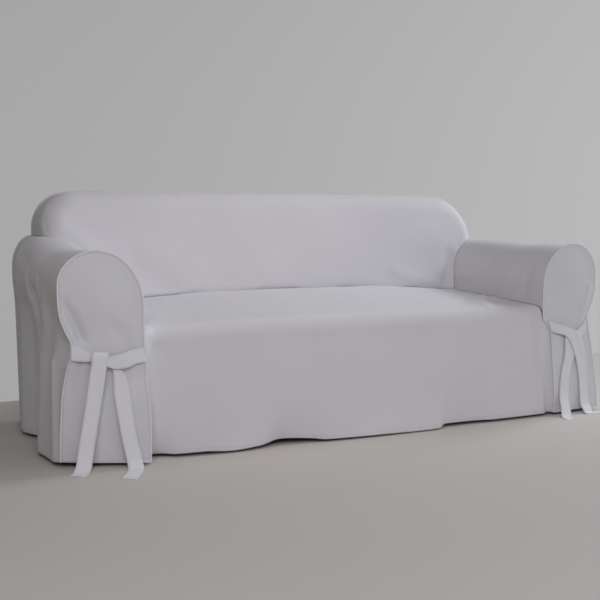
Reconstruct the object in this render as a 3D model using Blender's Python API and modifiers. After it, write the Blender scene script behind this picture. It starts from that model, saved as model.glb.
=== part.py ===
"""Fitted slipcover for a three-seat sofa with rolled arms, in the shape in which it hangs on the sofa.

The sofa is left out, so the cover is hollow and open at its hem. Its cut pieces are an inside back
that runs over the top and the ends, an outside back, a seat with its front skirt, two arm pieces that
run from the seat over the roll to the floor, two front arm panels, and two tie straps on each arm.

Metres, +Z up, +X to the right of someone who faces the sofa, whose front faces -Y. The origin is on the
floor under the middle of the cover. "Depth" runs back from the fronts of the arms, and "out" runs
outwards from the middle line of an arm.
"""

from collections import namedtuple

import bmesh
import bpy
import numpy as np

# Overall sizes
ARM_MIDDLE = 0.9455  # from the middle of the sofa to the middle line of an arm
ARM_INNER = 0.133  # from an arm's middle line to its inner face
ARM_TOP = 0.668
BACK_TOP = 0.868
REAR = 0.83  # depth at which every side wall ends, just before the outside back
DEPTH_MIDDLE = 0.327  # the depth that lies over the origin
ACROSS_MIDDLE = 0.0085  # how far right of the sofa's middle the origin lies

# Cloth and seams
CLOTH = 0.002
SEAM_GAP = 0.0003
SEAT_END_GAP = 0.0022  # between the ends of the seat and the arms
SKIRT_BEHIND = 0.0042  # from a front panel's face back to the face of the skirt's end
WELT = 0.004  # how far the seam round a front panel stands proud of the arm
REAR_WELT = 0.003
HEM = 0.012

# Back: its face leans rearwards as it rises, and a rounding joins the face to the top and the ends
CREASE_DEPTH = 0.575
CREASE_HEIGHT = 0.451
BACK_LEAN = 0.30
BACK_PAD = 0.012
BACK_ROUNDING = 0.065
BACK_CROWN = 0.004
CREASE_TUCK = 0.010
TUCK_LENGTH = 0.018
CROWN_HALF = 0.80  # half the length over which the top edge is crowned
REAR_DROP = 0.004  # how much lower the top edge lies at its rear
PULLED_COLUMNS = 7.0  # columns at each end that the seam to the arm draws with it
PULL_GROWTH = 2.5  # how fast that pull spreads to the middle on the way down

# The roll rises towards the back, between two depths, and its sides rise by a share of that
RISE_STARTS = 0.30
RISE_ENDS = 0.55
SIDE_RISE = 0.6

# Seat and front skirt: the middle and the two ends have different front edges
SEAT_FALL = 0.060
SEAT_CROWN = 0.033  # how far the seat rises in its middle at the back, and a share of that at the front
SEAT_CROWN_POWER = 2.6
FRONT_CROWN_SHARE = 0.30
FRONT_CROWN_FROM = 0.1  # the share of the way forward at which the crown starts to sink
NOSE_DEPTH = 0.030
NOSE_BACK = 0.075
NOSE_FOOT = 0.375
END_NOSE_BACK = 0.045
END_NOSE_FOOT = 0.383
SEAT_END = 0.050  # the width over which the seat takes its end's profile
SKIRT_CURL = 0.010  # the width over which the skirt is drawn to the front panel
SKIRT_MEAN_DEPTH = -0.008  # depth to which the skirt swings at its hem away from its ends, before its waves
SWING_POWER = 1.25  # the skirt swings as this power of the share fallen, and its waves grow as the other
WAVE_POWER = 3.5

# Outer side of an arm
ROLL_FOOT = 0.470
ROLL_FOOT_OUT = 0.116
UNDER_ROLL = 0.03  # height over which the cloth leaves the roll
REAR_TAPER = 0.045
TAPER_STARTS = 0.58
FOOT_TAPER = 0.8  # share of the taper that the foot of the roll takes
FRONT_BLEND = 0.100
FRONT_HEM_BLEND = 0.12  # depth over which the hem's height changes from the front panel's
FOLD_HEAD = 0.07  # height over which a fold's shallow head starts, and the head's share of the reach
FOLD_HEAD_SHARE = 0.35
FOLD_FOOT = 0.15  # share of its height at which a fold is full
SKIRT_FRONT_GAP = 1.15  # the gap behind the front panel is this much wider below the roll

# Front panel: its upper part is plump, and its relief ends short of the proud seam
PLUMP = 0.010
PLUMP_FROM = 0.40
PLUMP_FULL = 0.50
RELIEF_ENDS = 0.945

# Outside back: heights between which its folds fade, and its crown grows
FOLDS_FULL = 0.05
FOLDS_END = 0.75
CROWN_FROM = 0.70
SIDE_FADE = 4.0  # the folds fade over one part in so many at each side

Arm = namedtuple(
    "Arm",
    "name side crown_out inner_spring outer_spring outer_reach rear_rise corner seam inner_edge hem "
    "outer_folds panel_folds outer_tie inner_tie",
)

# A row for each change of the seam between the front panel and the outer arm: height, out, depth
LEFT_SEAM = [
    (0.018, 0.1220, 0.045),
    (0.099, 0.1210, 0.040),
    (0.166, 0.1190, 0.035),
    (0.221, 0.1175, 0.028),
    (0.269, 0.1120, 0.020),
    (0.317, 0.1040, 0.008),
    (0.356, 0.0945, 0.000),
    (0.386, 0.0945, 0.000),
    (0.433, 0.1135, 0.000),
    (0.479, 0.1285, 0.000),
    (0.525, 0.1328, 0.000),
    (0.567, 0.1330, 0.000),
]
RIGHT_SEAM = [
    (0.015, 0.1500, -0.006),
    (0.090, 0.1450, -0.004),
    (0.150, 0.1370, -0.001),
    (0.226, 0.1230, 0.000),
    (0.300, 0.1070, 0.000),
    (0.345, 0.0960, 0.000),
    (0.381, 0.0925, 0.000),
    (0.445, 0.1170, 0.000),
    (0.500, 0.1290, 0.000),
    (0.550, 0.1300, 0.000),
]

# The front panel's inner edge, which the skirt meets: height, out, depth
LEFT_INNER_EDGE = [
    (0.007, -0.1345, -0.045),
    (0.100, -0.1380, -0.039),
    (0.200, -0.1395, -0.026),
    (0.245, -0.1393, -0.010),
    (0.285, -0.1390, 0.000),
    (0.345, -0.1360, 0.000),
    (0.383, -0.1330, 0.000),
]
RIGHT_INNER_EDGE = [
    (0.010, -0.0860, -0.020),
    (0.100, -0.0855, -0.018),
    (0.180, -0.0855, -0.010),
    (0.260, -0.0870, -0.003),
    (0.300, -0.0880, 0.000),
    (0.325, -0.0910, 0.000),
    (0.350, -0.1020, 0.000),
    (0.383, -0.1330, 0.000),
]

# The outer arm's hem seen from above: depth, out
LEFT_HEM = [
    (0.045, 0.1220),
    (0.080, 0.1340),
    (0.120, 0.1375),
    (0.225, 0.1335),
    (0.315, 0.1260),
    (0.400, 0.1210),
    (0.508, 0.1170),
    (0.631, 0.1120),
    (0.720, 0.0960),
    (0.830, 0.0700),
]
RIGHT_HEM = [
    (-0.006, 0.1500),
    (0.060, 0.1480),
    (0.150, 0.1400),
    (0.270, 0.1300),
    (0.380, 0.1310),
    (0.500, 0.1240),
    (0.600, 0.1180),
    (0.700, 0.1000),
    (0.830, 0.0700),
]

# Upright folds of the outer arm: depth, half width, outward reach at the hem, height where it starts
LEFT_OUTER_FOLDS = [
    (0.205, 0.040, -0.010, 0.400),
    (0.330, 0.045, 0.006, 0.480),
    (0.462, 0.066, -0.046, 0.520),
    (0.585, 0.030, 0.005, 0.500),
]
RIGHT_OUTER_FOLDS = [
    (0.235, 0.050, -0.024, 0.500),
    (0.345, 0.040, 0.006, 0.450),
    (0.505, 0.060, -0.036, 0.480),
]

# Soft troughs of a front panel, each along a line: out and height of both ends, half width, depth
LEFT_PANEL_FOLDS = [
    (0.098, 0.505, 0.045, 0.392, 0.016, 0.012),
    (-0.040, 0.425, -0.082, 0.378, 0.014, 0.006),
    (-0.008, 0.450, -0.002, 0.375, 0.014, 0.006),
    (0.062, 0.325, 0.078, 0.120, 0.018, 0.014),
    (-0.005, 0.300, -0.020, 0.090, 0.024, 0.007),
]
RIGHT_PANEL_FOLDS = [
    (0.030, 0.470, 0.052, 0.372, 0.015, 0.010),
    (-0.030, 0.430, -0.010, 0.370, 0.014, 0.006),
    (-0.052, 0.330, -0.046, 0.130, 0.014, 0.012),
    (0.100, 0.345, 0.112, 0.160, 0.014, 0.008),
    (0.015, 0.270, 0.012, 0.080, 0.022, 0.008),
]

# Tie straps, a row for each section: X, depth and height of one edge, then of the other edge
LEFT_OUTER_TIE = [
    (-1.0425, -0.0030, 0.389, -1.0430, -0.0030, 0.338),
    (-1.0100, -0.0060, 0.375, -1.0110, -0.0060, 0.334),
    (-0.9870, -0.0080, 0.363, -0.9830, -0.0080, 0.332),
    (-0.9690, -0.0085, 0.354, -0.9530, -0.0085, 0.336),
    (-0.9710, -0.0095, 0.351, -0.9440, -0.0095, 0.349),
    (-0.9800, -0.0130, 0.360, -0.9340, -0.0130, 0.358),
    (-0.9840, -0.0160, 0.349, -0.9310, -0.0160, 0.345),
    (-0.9850, -0.0165, 0.329, -0.9350, -0.0165, 0.325),
    (-0.9940, -0.0180, 0.281, -0.9440, -0.0180, 0.275),
    (-1.0060, -0.0220, 0.206, -0.9580, -0.0220, 0.201),
    (-1.0280, -0.0300, 0.100, -0.9790, -0.0300, 0.095),
    (-1.0390, -0.0370, 0.049, -0.9910, -0.0380, 0.040),
    (-1.0460, -0.0430, 0.020, -0.9980, -0.0470, 0.013),
    (-1.0590, -0.0480, 0.0022, -1.0140, -0.0680, 0.0016),
    (-1.0730, -0.0540, 0.0010, -1.0360, -0.0920, 0.0010),
]
LEFT_INNER_TIE = [
    (-0.8150, -0.0016, 0.366, -0.8080, -0.0016, 0.317),
    (-0.8530, -0.0080, 0.361, -0.8380, -0.0080, 0.316),
    (-0.8900, -0.0125, 0.352, -0.8680, -0.0125, 0.307),
    (-0.9240, -0.0130, 0.345, -0.9050, -0.0130, 0.304),
    (-0.9420, -0.0105, 0.338, -0.9330, -0.0105, 0.314),
    (-0.9170, -0.0070, 0.308, -0.8900, -0.0070, 0.302),
    (-0.9140, -0.0070, 0.271, -0.8700, -0.0070, 0.269),
    (-0.9140, -0.0100, 0.236, -0.8650, -0.0120, 0.233),
    (-0.9110, -0.0180, 0.196, -0.8610, -0.0210, 0.195),
    (-0.9020, -0.0370, 0.106, -0.8530, -0.0420, 0.100),
    (-0.8930, -0.0520, 0.046, -0.8440, -0.0560, 0.042),
    (-0.8900, -0.0600, 0.020, -0.8410, -0.0640, 0.016),
    (-0.8920, -0.0720, 0.0030, -0.8430, -0.0800, 0.0026),
    (-0.9150, -0.1150, 0.0010, -0.8720, -0.1350, 0.0010),
    (-0.9450, -0.1590, 0.0010, -0.9070, -0.1900, 0.0010),
]
RIGHT_INNER_TIE = [
    (0.8360, -0.0016, 0.3740, 0.8560, -0.0016, 0.3260),
    (0.8640, -0.0080, 0.3640, 0.8680, -0.0080, 0.3220),
    (0.9000, -0.0140, 0.3530, 0.8940, -0.0140, 0.3170),
    (0.9390, -0.0200, 0.3420, 0.9130, -0.0200, 0.3100),
    (0.9680, -0.0220, 0.3240, 0.9240, -0.0220, 0.2960),
    (0.9820, -0.0220, 0.2940, 0.9340, -0.0220, 0.2710),
    (1.0010, -0.0210, 0.2490, 0.9470, -0.0210, 0.2370),
    (1.0170, -0.0200, 0.2040, 0.9610, -0.0200, 0.2000),
    (1.0270, -0.0190, 0.1310, 0.9810, -0.0200, 0.1300),
    (1.0260, -0.0250, 0.0710, 0.9820, -0.0260, 0.0670),
    (1.0260, -0.0320, 0.0380, 0.9800, -0.0340, 0.0340),
    (1.0290, -0.0390, 0.0180, 0.9820, -0.0440, 0.0160),
    (1.0390, -0.0430, 0.0026, 0.9910, -0.0570, 0.0026),
    (1.0690, -0.0400, 0.0010, 1.0260, -0.0720, 0.0010),
    (1.0910, -0.0300, 0.0010, 1.0560, -0.0740, 0.0010),
]
RIGHT_OUTER_TIE = [
    (1.0300, -0.0016, 0.3780, 1.0340, -0.0016, 0.3340),
    (1.0130, -0.0045, 0.3530, 1.0150, -0.0045, 0.3060),
    (0.9900, -0.0060, 0.3350, 0.9920, -0.0060, 0.2910),
    (0.9620, -0.0070, 0.3220, 0.9750, -0.0070, 0.2800),
    (0.9300, -0.0080, 0.3160, 0.9660, -0.0080, 0.2710),
    (0.9180, -0.0095, 0.2990, 0.9670, -0.0095, 0.2620),
    (0.9160, -0.0110, 0.2690, 0.9670, -0.0110, 0.2470),
    (0.9080, -0.0130, 0.2220, 0.9590, -0.0130, 0.2120),
    (0.8930, -0.0180, 0.1790, 0.9440, -0.0180, 0.1720),
    (0.8830, -0.0260, 0.1220, 0.9330, -0.0260, 0.1180),
    (0.8760, -0.0350, 0.0720, 0.9230, -0.0350, 0.0640),
    (0.8700, -0.0450, 0.0390, 0.9160, -0.0460, 0.0310),
    (0.8640, -0.0560, 0.0170, 0.9100, -0.0590, 0.0130),
    (0.8510, -0.0760, 0.0024, 0.9010, -0.0700, 0.0024),
    (0.8330, -0.1200, 0.0010, 0.8850, -0.1050, 0.0010),
]

# Front skirt, a row for each fold from left to right: X under the seat's edge, then X, depth and height
# of the hem, and how many parts the stretch up to the next row is cut into
SKIRT = [
    (-0.8122, -0.8080, -0.0420, 0.008, 1),
    (-0.8020, -0.8000, 0.0080, 0.010, 1),
    (-0.7850, -0.7810, 0.0500, 0.011, 1),
    (-0.7500, -0.7450, 0.0440, 0.011, 1),
    (-0.7000, -0.7000, 0.0140, 0.011, 2),
    (-0.6070, -0.6070, 0.0050, 0.010, 2),
    (-0.5130, -0.5130, -0.0180, 0.008, 2),
    (-0.4120, -0.4120, -0.0030, 0.011, 2),
    (-0.3250, -0.3250, 0.0420, 0.014, 2),
    (-0.2230, -0.2230, 0.0180, 0.012, 1),
    (-0.1530, -0.1530, -0.0180, 0.009, 4),
    (0.0750, 0.0750, -0.0420, 0.010, 3),
    (0.2550, 0.2550, -0.0480, 0.009, 1),
    (0.3000, 0.3020, -0.0440, 0.009, 1),
    (0.3500, 0.3480, -0.0020, 0.012, 2),
    (0.4700, 0.4700, 0.0000, 0.011, 2),
    (0.5900, 0.5900, -0.0160, 0.010, 3),
    (0.7550, 0.7600, -0.0140, 0.010, 1),
    (0.7880, 0.8150, -0.0120, 0.010, 1),
    (0.8030, 0.8430, 0.0040, 0.011, 1),
    (0.8122, 0.8540, -0.0175, 0.011, 0),
]

# Soft folds of the outside back: X, half width, rearward reach at the hem
REAR_FOLDS = [(-0.62, 0.09, 0.014), (-0.18, 0.12, 0.010), (0.31, 0.10, 0.016), (0.74, 0.08, 0.012)]

WHITE_COTTON = (0.62, 0.62, 0.66, 1.0)
TIE_COTTON = (0.66, 0.66, 0.69, 1.0)


def ease(low, high, value):
    """0 up to low, 1 from high on, and a smooth change between them."""
    share = np.clip((value - low) / (high - low), 0.0, 1.0)
    return share * share * (3.0 - 2.0 * share)


def smooth_value(table, value, column=1):
    """A table's column at a value of its first column, on a smooth curve that never overshoots a row."""
    rows = np.array(table, float)
    keys, heights = rows[:, 0], rows[:, column]
    secants = np.diff(heights) / np.diff(keys)
    product = secants[1:] * secants[:-1]
    total = np.where(secants[1:] + secants[:-1] == 0.0, 1.0, secants[1:] + secants[:-1])
    slopes = np.concatenate([secants[:1], np.where(product > 0.0, 2 * product / total, 0.0), secants[-1:]])
    index = np.clip(np.searchsorted(keys, value) - 1, 0, len(keys) - 2)
    span = keys[index + 1] - keys[index]
    share = np.clip((value - keys[index]) / span, 0.0, 1.0)
    square, cube = share**2, share**3
    return (
        (2 * cube - 3 * square + 1) * heights[index]
        + (cube - 2 * square + share) * span * slopes[index]
        + (3 * square - 2 * cube) * heights[index + 1]
        + (cube - square) * span * slopes[index + 1]
    )


def curve_through(knots, parts):
    """Points on a Catmull-Rom curve through the knots, with each stretch cut into that many parts."""
    knots = np.array(knots, float)
    ends = np.vstack([2 * knots[0] - knots[1], knots, 2 * knots[-1] - knots[-2]])
    place = np.linspace(0, len(knots) - 1, parts * (len(knots) - 1) + 1)
    index = np.minimum(place.astype(int), len(knots) - 2)
    share = (place - index)[:, None]
    a, b, c, d = (ends[index + step] for step in range(4))
    return 0.5 * (
        2 * b
        + (c - a) * share
        + (2 * a - 5 * b + 4 * c - d) * share**2
        + (3 * b - 3 * c + d - a) * share**3
    )


def in_place(across, depth, height):
    """Points from the distance right of the sofa's middle, depth and height."""
    across, depth, height = np.broadcast_arrays(across, depth, height)
    return np.stack([across - ACROSS_MIDDLE, depth - DEPTH_MIDDLE, height], axis=-1)


def trough(out, height, fold):
    """How deep a soft trough is at a point: full on its line, fading to its sides and past its ends."""
    out_a, height_a, out_b, height_b, half_width, depth = fold
    run = np.array([out_b - out_a, height_b - height_a])
    length = np.hypot(*run)
    along = ((out - out_a) * run[0] + (height - height_a) * run[1]) / length
    aside = ((out - out_a) * run[1] - (height - height_a) * run[0]) / length
    past = np.maximum(0.0, np.maximum(-along, along - length))
    return depth * np.exp(-((aside / half_width) ** 2) - (past / half_width) ** 2)


# --- Arm section: stations 0-1 inner face, 1-2 and 2-3 the roll, 3-4 outer skirt ---


def seat_side_height(depth):
    """Height at which the seat meets the inner face of an arm."""
    forward = np.maximum(CREASE_DEPTH - depth, 0.0)
    level = CREASE_HEIGHT + CREASE_TUCK * (1.0 - np.exp(-forward / TUCK_LENGTH)) - SEAT_FALL * forward
    start = CREASE_HEIGHT + CREASE_TUCK - SEAT_FALL * (CREASE_DEPTH - END_NOSE_BACK)
    turn = np.clip((END_NOSE_BACK - depth) / (END_NOSE_BACK - CLOTH), 0.0, 1.0)
    nose = END_NOSE_FOOT + (start - END_NOSE_FOOT) * np.sqrt(1.0 - turn**2)
    return np.where(depth > END_NOSE_BACK, level, nose)


def outer_out(arm, depth, height):
    """Out of the arm's outer side below the roll: under the roll, flare to the hem, and folds."""
    taper = REAR_TAPER * ease(TAPER_STARTS, REAR, depth)
    foot = ROLL_FOOT_OUT - FOOT_TAPER * taper
    hem = smooth_value(arm.hem, depth)
    hanging = foot + (hem - foot) * np.clip(1.0 - height / ROLL_FOOT, 0.0, 1.0)
    roll = arm.outer_reach - taper
    out = hanging + (roll - hanging) * ease(ROLL_FOOT - UNDER_ROLL, arm.outer_spring, height)
    for middle, half_width, reach, top in arm.outer_folds:
        head = 1.0 - ease(top - FOLD_HEAD, top, height)
        foot = 1.0 - ease(FOLD_FOOT * top, top, height)
        growth = FOLD_HEAD_SHARE * head + (1.0 - FOLD_HEAD_SHARE) * foot
        out = out + reach * growth * np.exp(-(((depth - middle) / half_width) ** 2))
    front = smooth_value(arm.seam, height)
    start = smooth_value(arm.seam, height, 2)
    return front + (out - front) * ease(0.0, FRONT_BLEND, depth - start)


def arm_section(arm, station, depth):
    """(out, height) of the arm at a station of its section and a depth."""
    station, depth = np.broadcast_arrays(station, depth)
    rise = arm.rear_rise * ease(RISE_STARTS, RISE_ENDS, depth)
    top = ARM_TOP + rise
    inner_spring = arm.inner_spring + SIDE_RISE * rise
    outer_spring = arm.outer_spring + SIDE_RISE * rise
    reach = arm.outer_reach - REAR_TAPER * ease(TAPER_STARTS, REAR, depth)
    low = seat_side_height(depth)
    inner_height = low + (inner_spring - low) * np.clip(station, 0.0, 1.0)
    inner_turn = 0.5 * np.pi * np.clip(station - 1.0, 0.0, 1.0)
    outer_turn = 0.5 * np.pi * np.clip(station - 2.0, 0.0, 1.0)
    inner_out = arm.crown_out - (arm.crown_out + ARM_INNER) * np.cos(inner_turn)
    inner_arc = inner_spring + (top - inner_spring) * np.sin(inner_turn)
    arc_out = arm.crown_out + (reach - arm.crown_out) * np.sin(outer_turn)
    outer_arc = outer_spring + (top - outer_spring) * np.cos(outer_turn)
    hem = HEM + (arm.seam[0][0] - HEM) * (1.0 - ease(0.0, FRONT_HEM_BLEND, depth))
    drop = np.clip(station - 3.0, 0.0, 1.0)
    skirt_height = outer_spring + (hem - outer_spring) * drop
    skirt_out = outer_out(arm, depth, skirt_height)
    places = [station <= 1.0, station <= 2.0, station <= 3.0]
    out = np.select(places, [-ARM_INNER + 0.0 * depth, inner_out, arc_out], skirt_out)
    height = np.select(places, [inner_height, inner_arc, outer_arc], skirt_height)
    return out, height


def rounding_stations(arm, turns):
    """Stations on the inner half of the roll that the back's rounding reaches, and their depth."""
    inset = BACK_ROUNDING * (1.0 - np.cos(turns))
    return 1.0 + np.arccos(inset / (arm.crown_out + ARM_INNER)) / (0.5 * np.pi)


ROUND_TURNS = np.linspace(0.0, 0.5 * np.pi, 5)
FACE_PARTS = 4
SIDE_PARTS = 3
SKIRT_PARTS = 11


def inner_stations(arm):
    """Stations from the seat up to the crown, at which the arm and the back are sewn together."""
    rounding = rounding_stations(arm, ROUND_TURNS[::-1])
    face = np.linspace(1.0, rounding[0], FACE_PARTS + 1)
    side = np.linspace(0.0, 1.0, SIDE_PARTS + 1)
    return np.concatenate([side, face[1:], rounding[1:]])


# --- Inside back ---


def seat_rise(across):
    """How far the seat's crown lifts it."""
    share = np.clip(np.abs(across) / (ARM_MIDDLE - ARM_INNER), 0.0, 1.0)
    return SEAT_CROWN * (1.0 - share**SEAT_CROWN_POWER)


def face_depth(across, height):
    """Depth of the back's front face: leaning, slightly padded, and tucked in at the seat."""
    share = np.clip((height - CREASE_HEIGHT) / (BACK_TOP - CREASE_HEIGHT), 0.0, 1.0)
    above_seat = height - CREASE_HEIGHT - seat_rise(across)
    tuck = CREASE_TUCK * np.exp(-np.maximum(above_seat, 0.0) / TUCK_LENGTH)
    lean = CREASE_DEPTH - CREASE_TUCK + BACK_LEAN * (height - CREASE_HEIGHT)
    return lean + tuck - BACK_PAD * np.sin(np.pi * share)


def junction(arm):
    """X, depth and height of the seam between the back and the arm, from the seat to the crown."""
    station = inner_stations(arm)
    out, height = arm_section(arm, station, np.full(station.shape, RISE_ENDS + 0.1))
    side = SIDE_PARTS + 1
    height[:side] = np.linspace(CREASE_HEIGHT, height[side - 1], side)
    inset = np.clip(BACK_ROUNDING - (arm.crown_out - out), 0.0, BACK_ROUNDING)
    across = arm.side * (ARM_MIDDLE + out)
    depth = face_depth(across, height) + BACK_ROUNDING - np.sqrt(BACK_ROUNDING**2 - inset**2)
    return across, depth, height


def back_outline(left, right):
    """The back's outline seen from the front, from left to right: X, height and inward direction."""
    points, inward = [], []
    for arm in (left, right):
        half = ARM_MIDDLE + arm.crown_out
        spring = BACK_TOP - arm.corner
        foot = ARM_TOP + arm.rear_rise
        turn = np.linspace(0.0, 0.5 * np.pi, 8)
        rise = np.linspace(foot, spring, 3)[:-1]
        across = np.concatenate([np.full(rise.shape, half), half - arm.corner * (1 - np.cos(turn))])
        height = np.concatenate([rise, spring + arm.corner * np.sin(turn)])
        turned = np.concatenate([np.zeros(rise.shape), turn])
        points.append(np.stack([arm.side * across, height], axis=1))
        inward.append(np.stack([-arm.side * np.cos(turned), -np.sin(turned)], axis=1))
    top = np.linspace(points[0][-1], points[1][-1], 16)[1:-1]
    down = np.tile([0.0, -1.0], (len(top), 1))
    outline = np.vstack([points[0], top, points[1][::-1]])
    return outline, np.vstack([inward[0], down, inward[1][::-1]])


def crown(across):
    """How far the top edge of the back stands higher in its middle."""
    return BACK_CROWN * (1.0 - np.clip(np.abs(across) / CROWN_HALF, 0.0, 1.0) ** 2)


def inside_back(left, right):
    """Rows from the rear rim over the top and round the ends, then down the face to the seat."""
    outline, inward = back_outline(left, right)
    steps = np.hypot(*np.diff(outline, axis=0).T)
    share = np.concatenate([[0.0], np.cumsum(steps)]) / steps.sum()
    columns = np.arange(len(outline))
    half_seat = ARM_MIDDLE - ARM_INNER
    seat_line = half_seat * (2.0 * share - 1.0)
    crease = np.stack([seat_line, CREASE_HEIGHT + seat_rise(seat_line)], axis=1)
    seams = [np.stack(junction(arm), axis=1)[::-1] for arm in (left, right)]
    rows = []
    for part in np.linspace(0.0, 1.0, 4)[:-1]:
        height = outline[:, 1] + crown(outline[:, 0]) + REAR_DROP * (1.0 - part) * inward[:, 1]
        front = face_depth(*outline.T) + BACK_ROUNDING
        depth = REAR + (front - REAR) * part
        rows.append(in_place(outline[:, 0], depth, height))
    face_rows = SIDE_PARTS + FACE_PARTS
    insets = list(BACK_ROUNDING * (1.0 - np.cos(ROUND_TURNS)))
    shares = [0.0] * len(insets) + [k / face_rows for k in range(1, face_rows + 1)]
    insets += [BACK_ROUNDING] * face_rows
    for row, (inset, down) in enumerate(zip(insets, shares)):
        base = outline + inset * inward
        base = base + (crease - base) * down
        for seam, from_end in ((seams[0], columns), (seams[1], columns[::-1])):
            end = 0 if from_end[0] == 0 else -1
            near = np.clip(1.0 - from_end / PULLED_COLUMNS, 0.0, 1.0) ** 2
            fade = near + (1.0 - from_end / columns[-1] - near) * min(1.0, PULL_GROWTH * down)
            base = base + np.outer(fade, seam[row][[0, 2]] - base[end])
        turn = ROUND_TURNS[min(row, len(ROUND_TURNS) - 1)]
        depth = face_depth(*base.T) + BACK_ROUNDING * (1.0 - np.sin(turn))
        depth[0], depth[-1] = seams[0][row][1], seams[1][row][1]
        height = base[:, 1] + crown(base[:, 0]) * (1.0 - down)
        rows.append(in_place(base[:, 0], depth, height))
    return np.array(rows)


# --- Seat and front skirt ---


SEAT_SHARES = [0.0, 0.02, 0.05, 0.14, 0.30, 0.48, 0.66, 0.84, 1.0]
SKIRT_SHARES = [0.08, 0.18, 0.30, 0.43, 0.56, 0.70, 0.85, 1.0]


def seat_and_skirt(left, right):
    """Rows from the crease forward over the front edge and down to the hem.

    The skirt's waves grow as a higher power of the share fallen than its swing, so they show near the floor.
    """
    table = np.array(SKIRT, float)
    knots = [
        np.linspace(a, b, int(parts) + 1)[:-1] for a, b, parts in zip(table, table[1:], table[:-1, 4])
    ]
    reach = ARM_MIDDLE - ARM_INNER - SEAT_END_GAP
    key = np.concatenate([part[:, 0] for part in knots] + [table[-1:, 0]])
    top = np.clip(key, -reach, reach)
    end = 1.0 - ease(0.0, SEAT_END, reach - np.abs(top))
    rows = []
    for part in SEAT_SHARES:
        low = seat_side_height(CREASE_DEPTH + (END_NOSE_BACK - CREASE_DEPTH) * part)
        crown_height = seat_rise(top)
        crease_depth = face_depth(top, CREASE_HEIGHT + crown_height) - SEAM_GAP
        depth = crease_depth * (1.0 - part) + (NOSE_BACK + (END_NOSE_BACK - NOSE_BACK) * end) * part
        plump = crown_height * (1.0 - (1.0 - FRONT_CROWN_SHARE) * ease(FRONT_CROWN_FROM, 1.0, part))
        rows.append(in_place(top, depth, low + plump))
    nose_top = rows[-1][:, 2]
    for turn in np.linspace(0.0, 0.5 * np.pi, 5)[1:]:
        back = NOSE_BACK + (END_NOSE_BACK - NOSE_BACK) * end
        front = NOSE_DEPTH + (SKIRT_BEHIND - NOSE_DEPTH) * end
        foot = NOSE_FOOT + (END_NOSE_FOOT - NOSE_FOOT) * end
        depth = back + (front - back) * np.sin(turn)
        rows.append(in_place(top, depth, foot + (nose_top - foot) * np.cos(turn)))
    edge = rows[-1]
    hem = [smooth_value(SKIRT, key, column) for column in (1, 2, 3)]
    steady = SKIRT_MEAN_DEPTH + (hem[1] - SKIRT_MEAN_DEPTH) * end
    curl = [np.clip(1.0 - np.abs(top - arm.side * reach) / SKIRT_CURL, 0.0, 1.0) for arm in (left, right)]
    for part in SKIRT_SHARES:
        swing, wave = part**SWING_POWER, part**WAVE_POWER
        height = edge[:, 2] + (hem[2] - edge[:, 2]) * part
        across = edge[:, 0] + ACROSS_MIDDLE
        across = across + (hem[0] - across) * swing
        depth = edge[:, 1] + DEPTH_MIDDLE
        depth = depth + (steady - depth) * swing + (hem[1] - steady) * wave
        for arm, near, last in ((left, curl[0], 0), (right, curl[1], -1)):
            out = smooth_value(arm.inner_edge, height[last])
            seam_depth = smooth_value(arm.inner_edge, height[last], 2)
            across = across + near * (arm.side * (ARM_MIDDLE + out) - across[last])
            depth = depth + near * (seam_depth + SKIRT_BEHIND - depth[last])
        rows.append(in_place(across, depth, height))
    return np.array(rows)


# --- Arm piece ---

SHARES_FRONT = np.linspace(0.0, 1.0, 18)
SHARES_REAR = np.linspace(0.0, 1.0, 4)[1:]


def arm_piece(arm):
    """Points by station and depth, and the stations above the crown that reach the rear seam."""
    inner = inner_stations(arm)
    skirt = 3.0 + np.linspace(0.0, 1.0, SKIRT_PARTS + 1)[1:]
    outer = np.concatenate([np.linspace(2.0, 3.0, 7)[1:], skirt])
    station = np.concatenate([inner, outer])[:, None]
    _, seam_depth, _ = junction(arm)
    turns = np.concatenate([np.full(len(inner) - len(ROUND_TURNS), 0.5 * np.pi), ROUND_TURNS[::-1]])
    join = np.concatenate([seam_depth - SEAM_GAP * np.sin(turns), np.full(outer.shape, seam_depth[-1])])
    join = join[:, None]
    drop = np.clip(station - 3.0, 0.0, 1.0)
    front_height = arm.outer_spring + (arm.seam[0][0] - arm.outer_spring) * drop
    swing = np.where(station > 3.0, smooth_value(arm.seam, front_height, 2), 0.0)
    start = swing + (CLOTH + SEAM_GAP) * np.where(station > 3.0, SKIRT_FRONT_GAP, 1.0)
    depth = np.hstack([start + (join - start) * SHARES_FRONT, join + (REAR - join) * SHARES_REAR])
    out, height = arm_section(arm, station, depth)
    out[len(inner) - 1, len(SHARES_FRONT) :] += SEAM_GAP
    out[: len(inner), len(SHARES_FRONT) - 1] += SEAM_GAP * np.cos(turns)
    points = in_place(arm.side * (ARM_MIDDLE + out), depth, height)
    kept = np.ones((points.shape[0] - 1, points.shape[1] - 1), bool)
    kept[: len(inner) - 1, len(SHARES_FRONT) - 1 :] = False
    return points, kept


# --- Front arm panel ---


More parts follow.
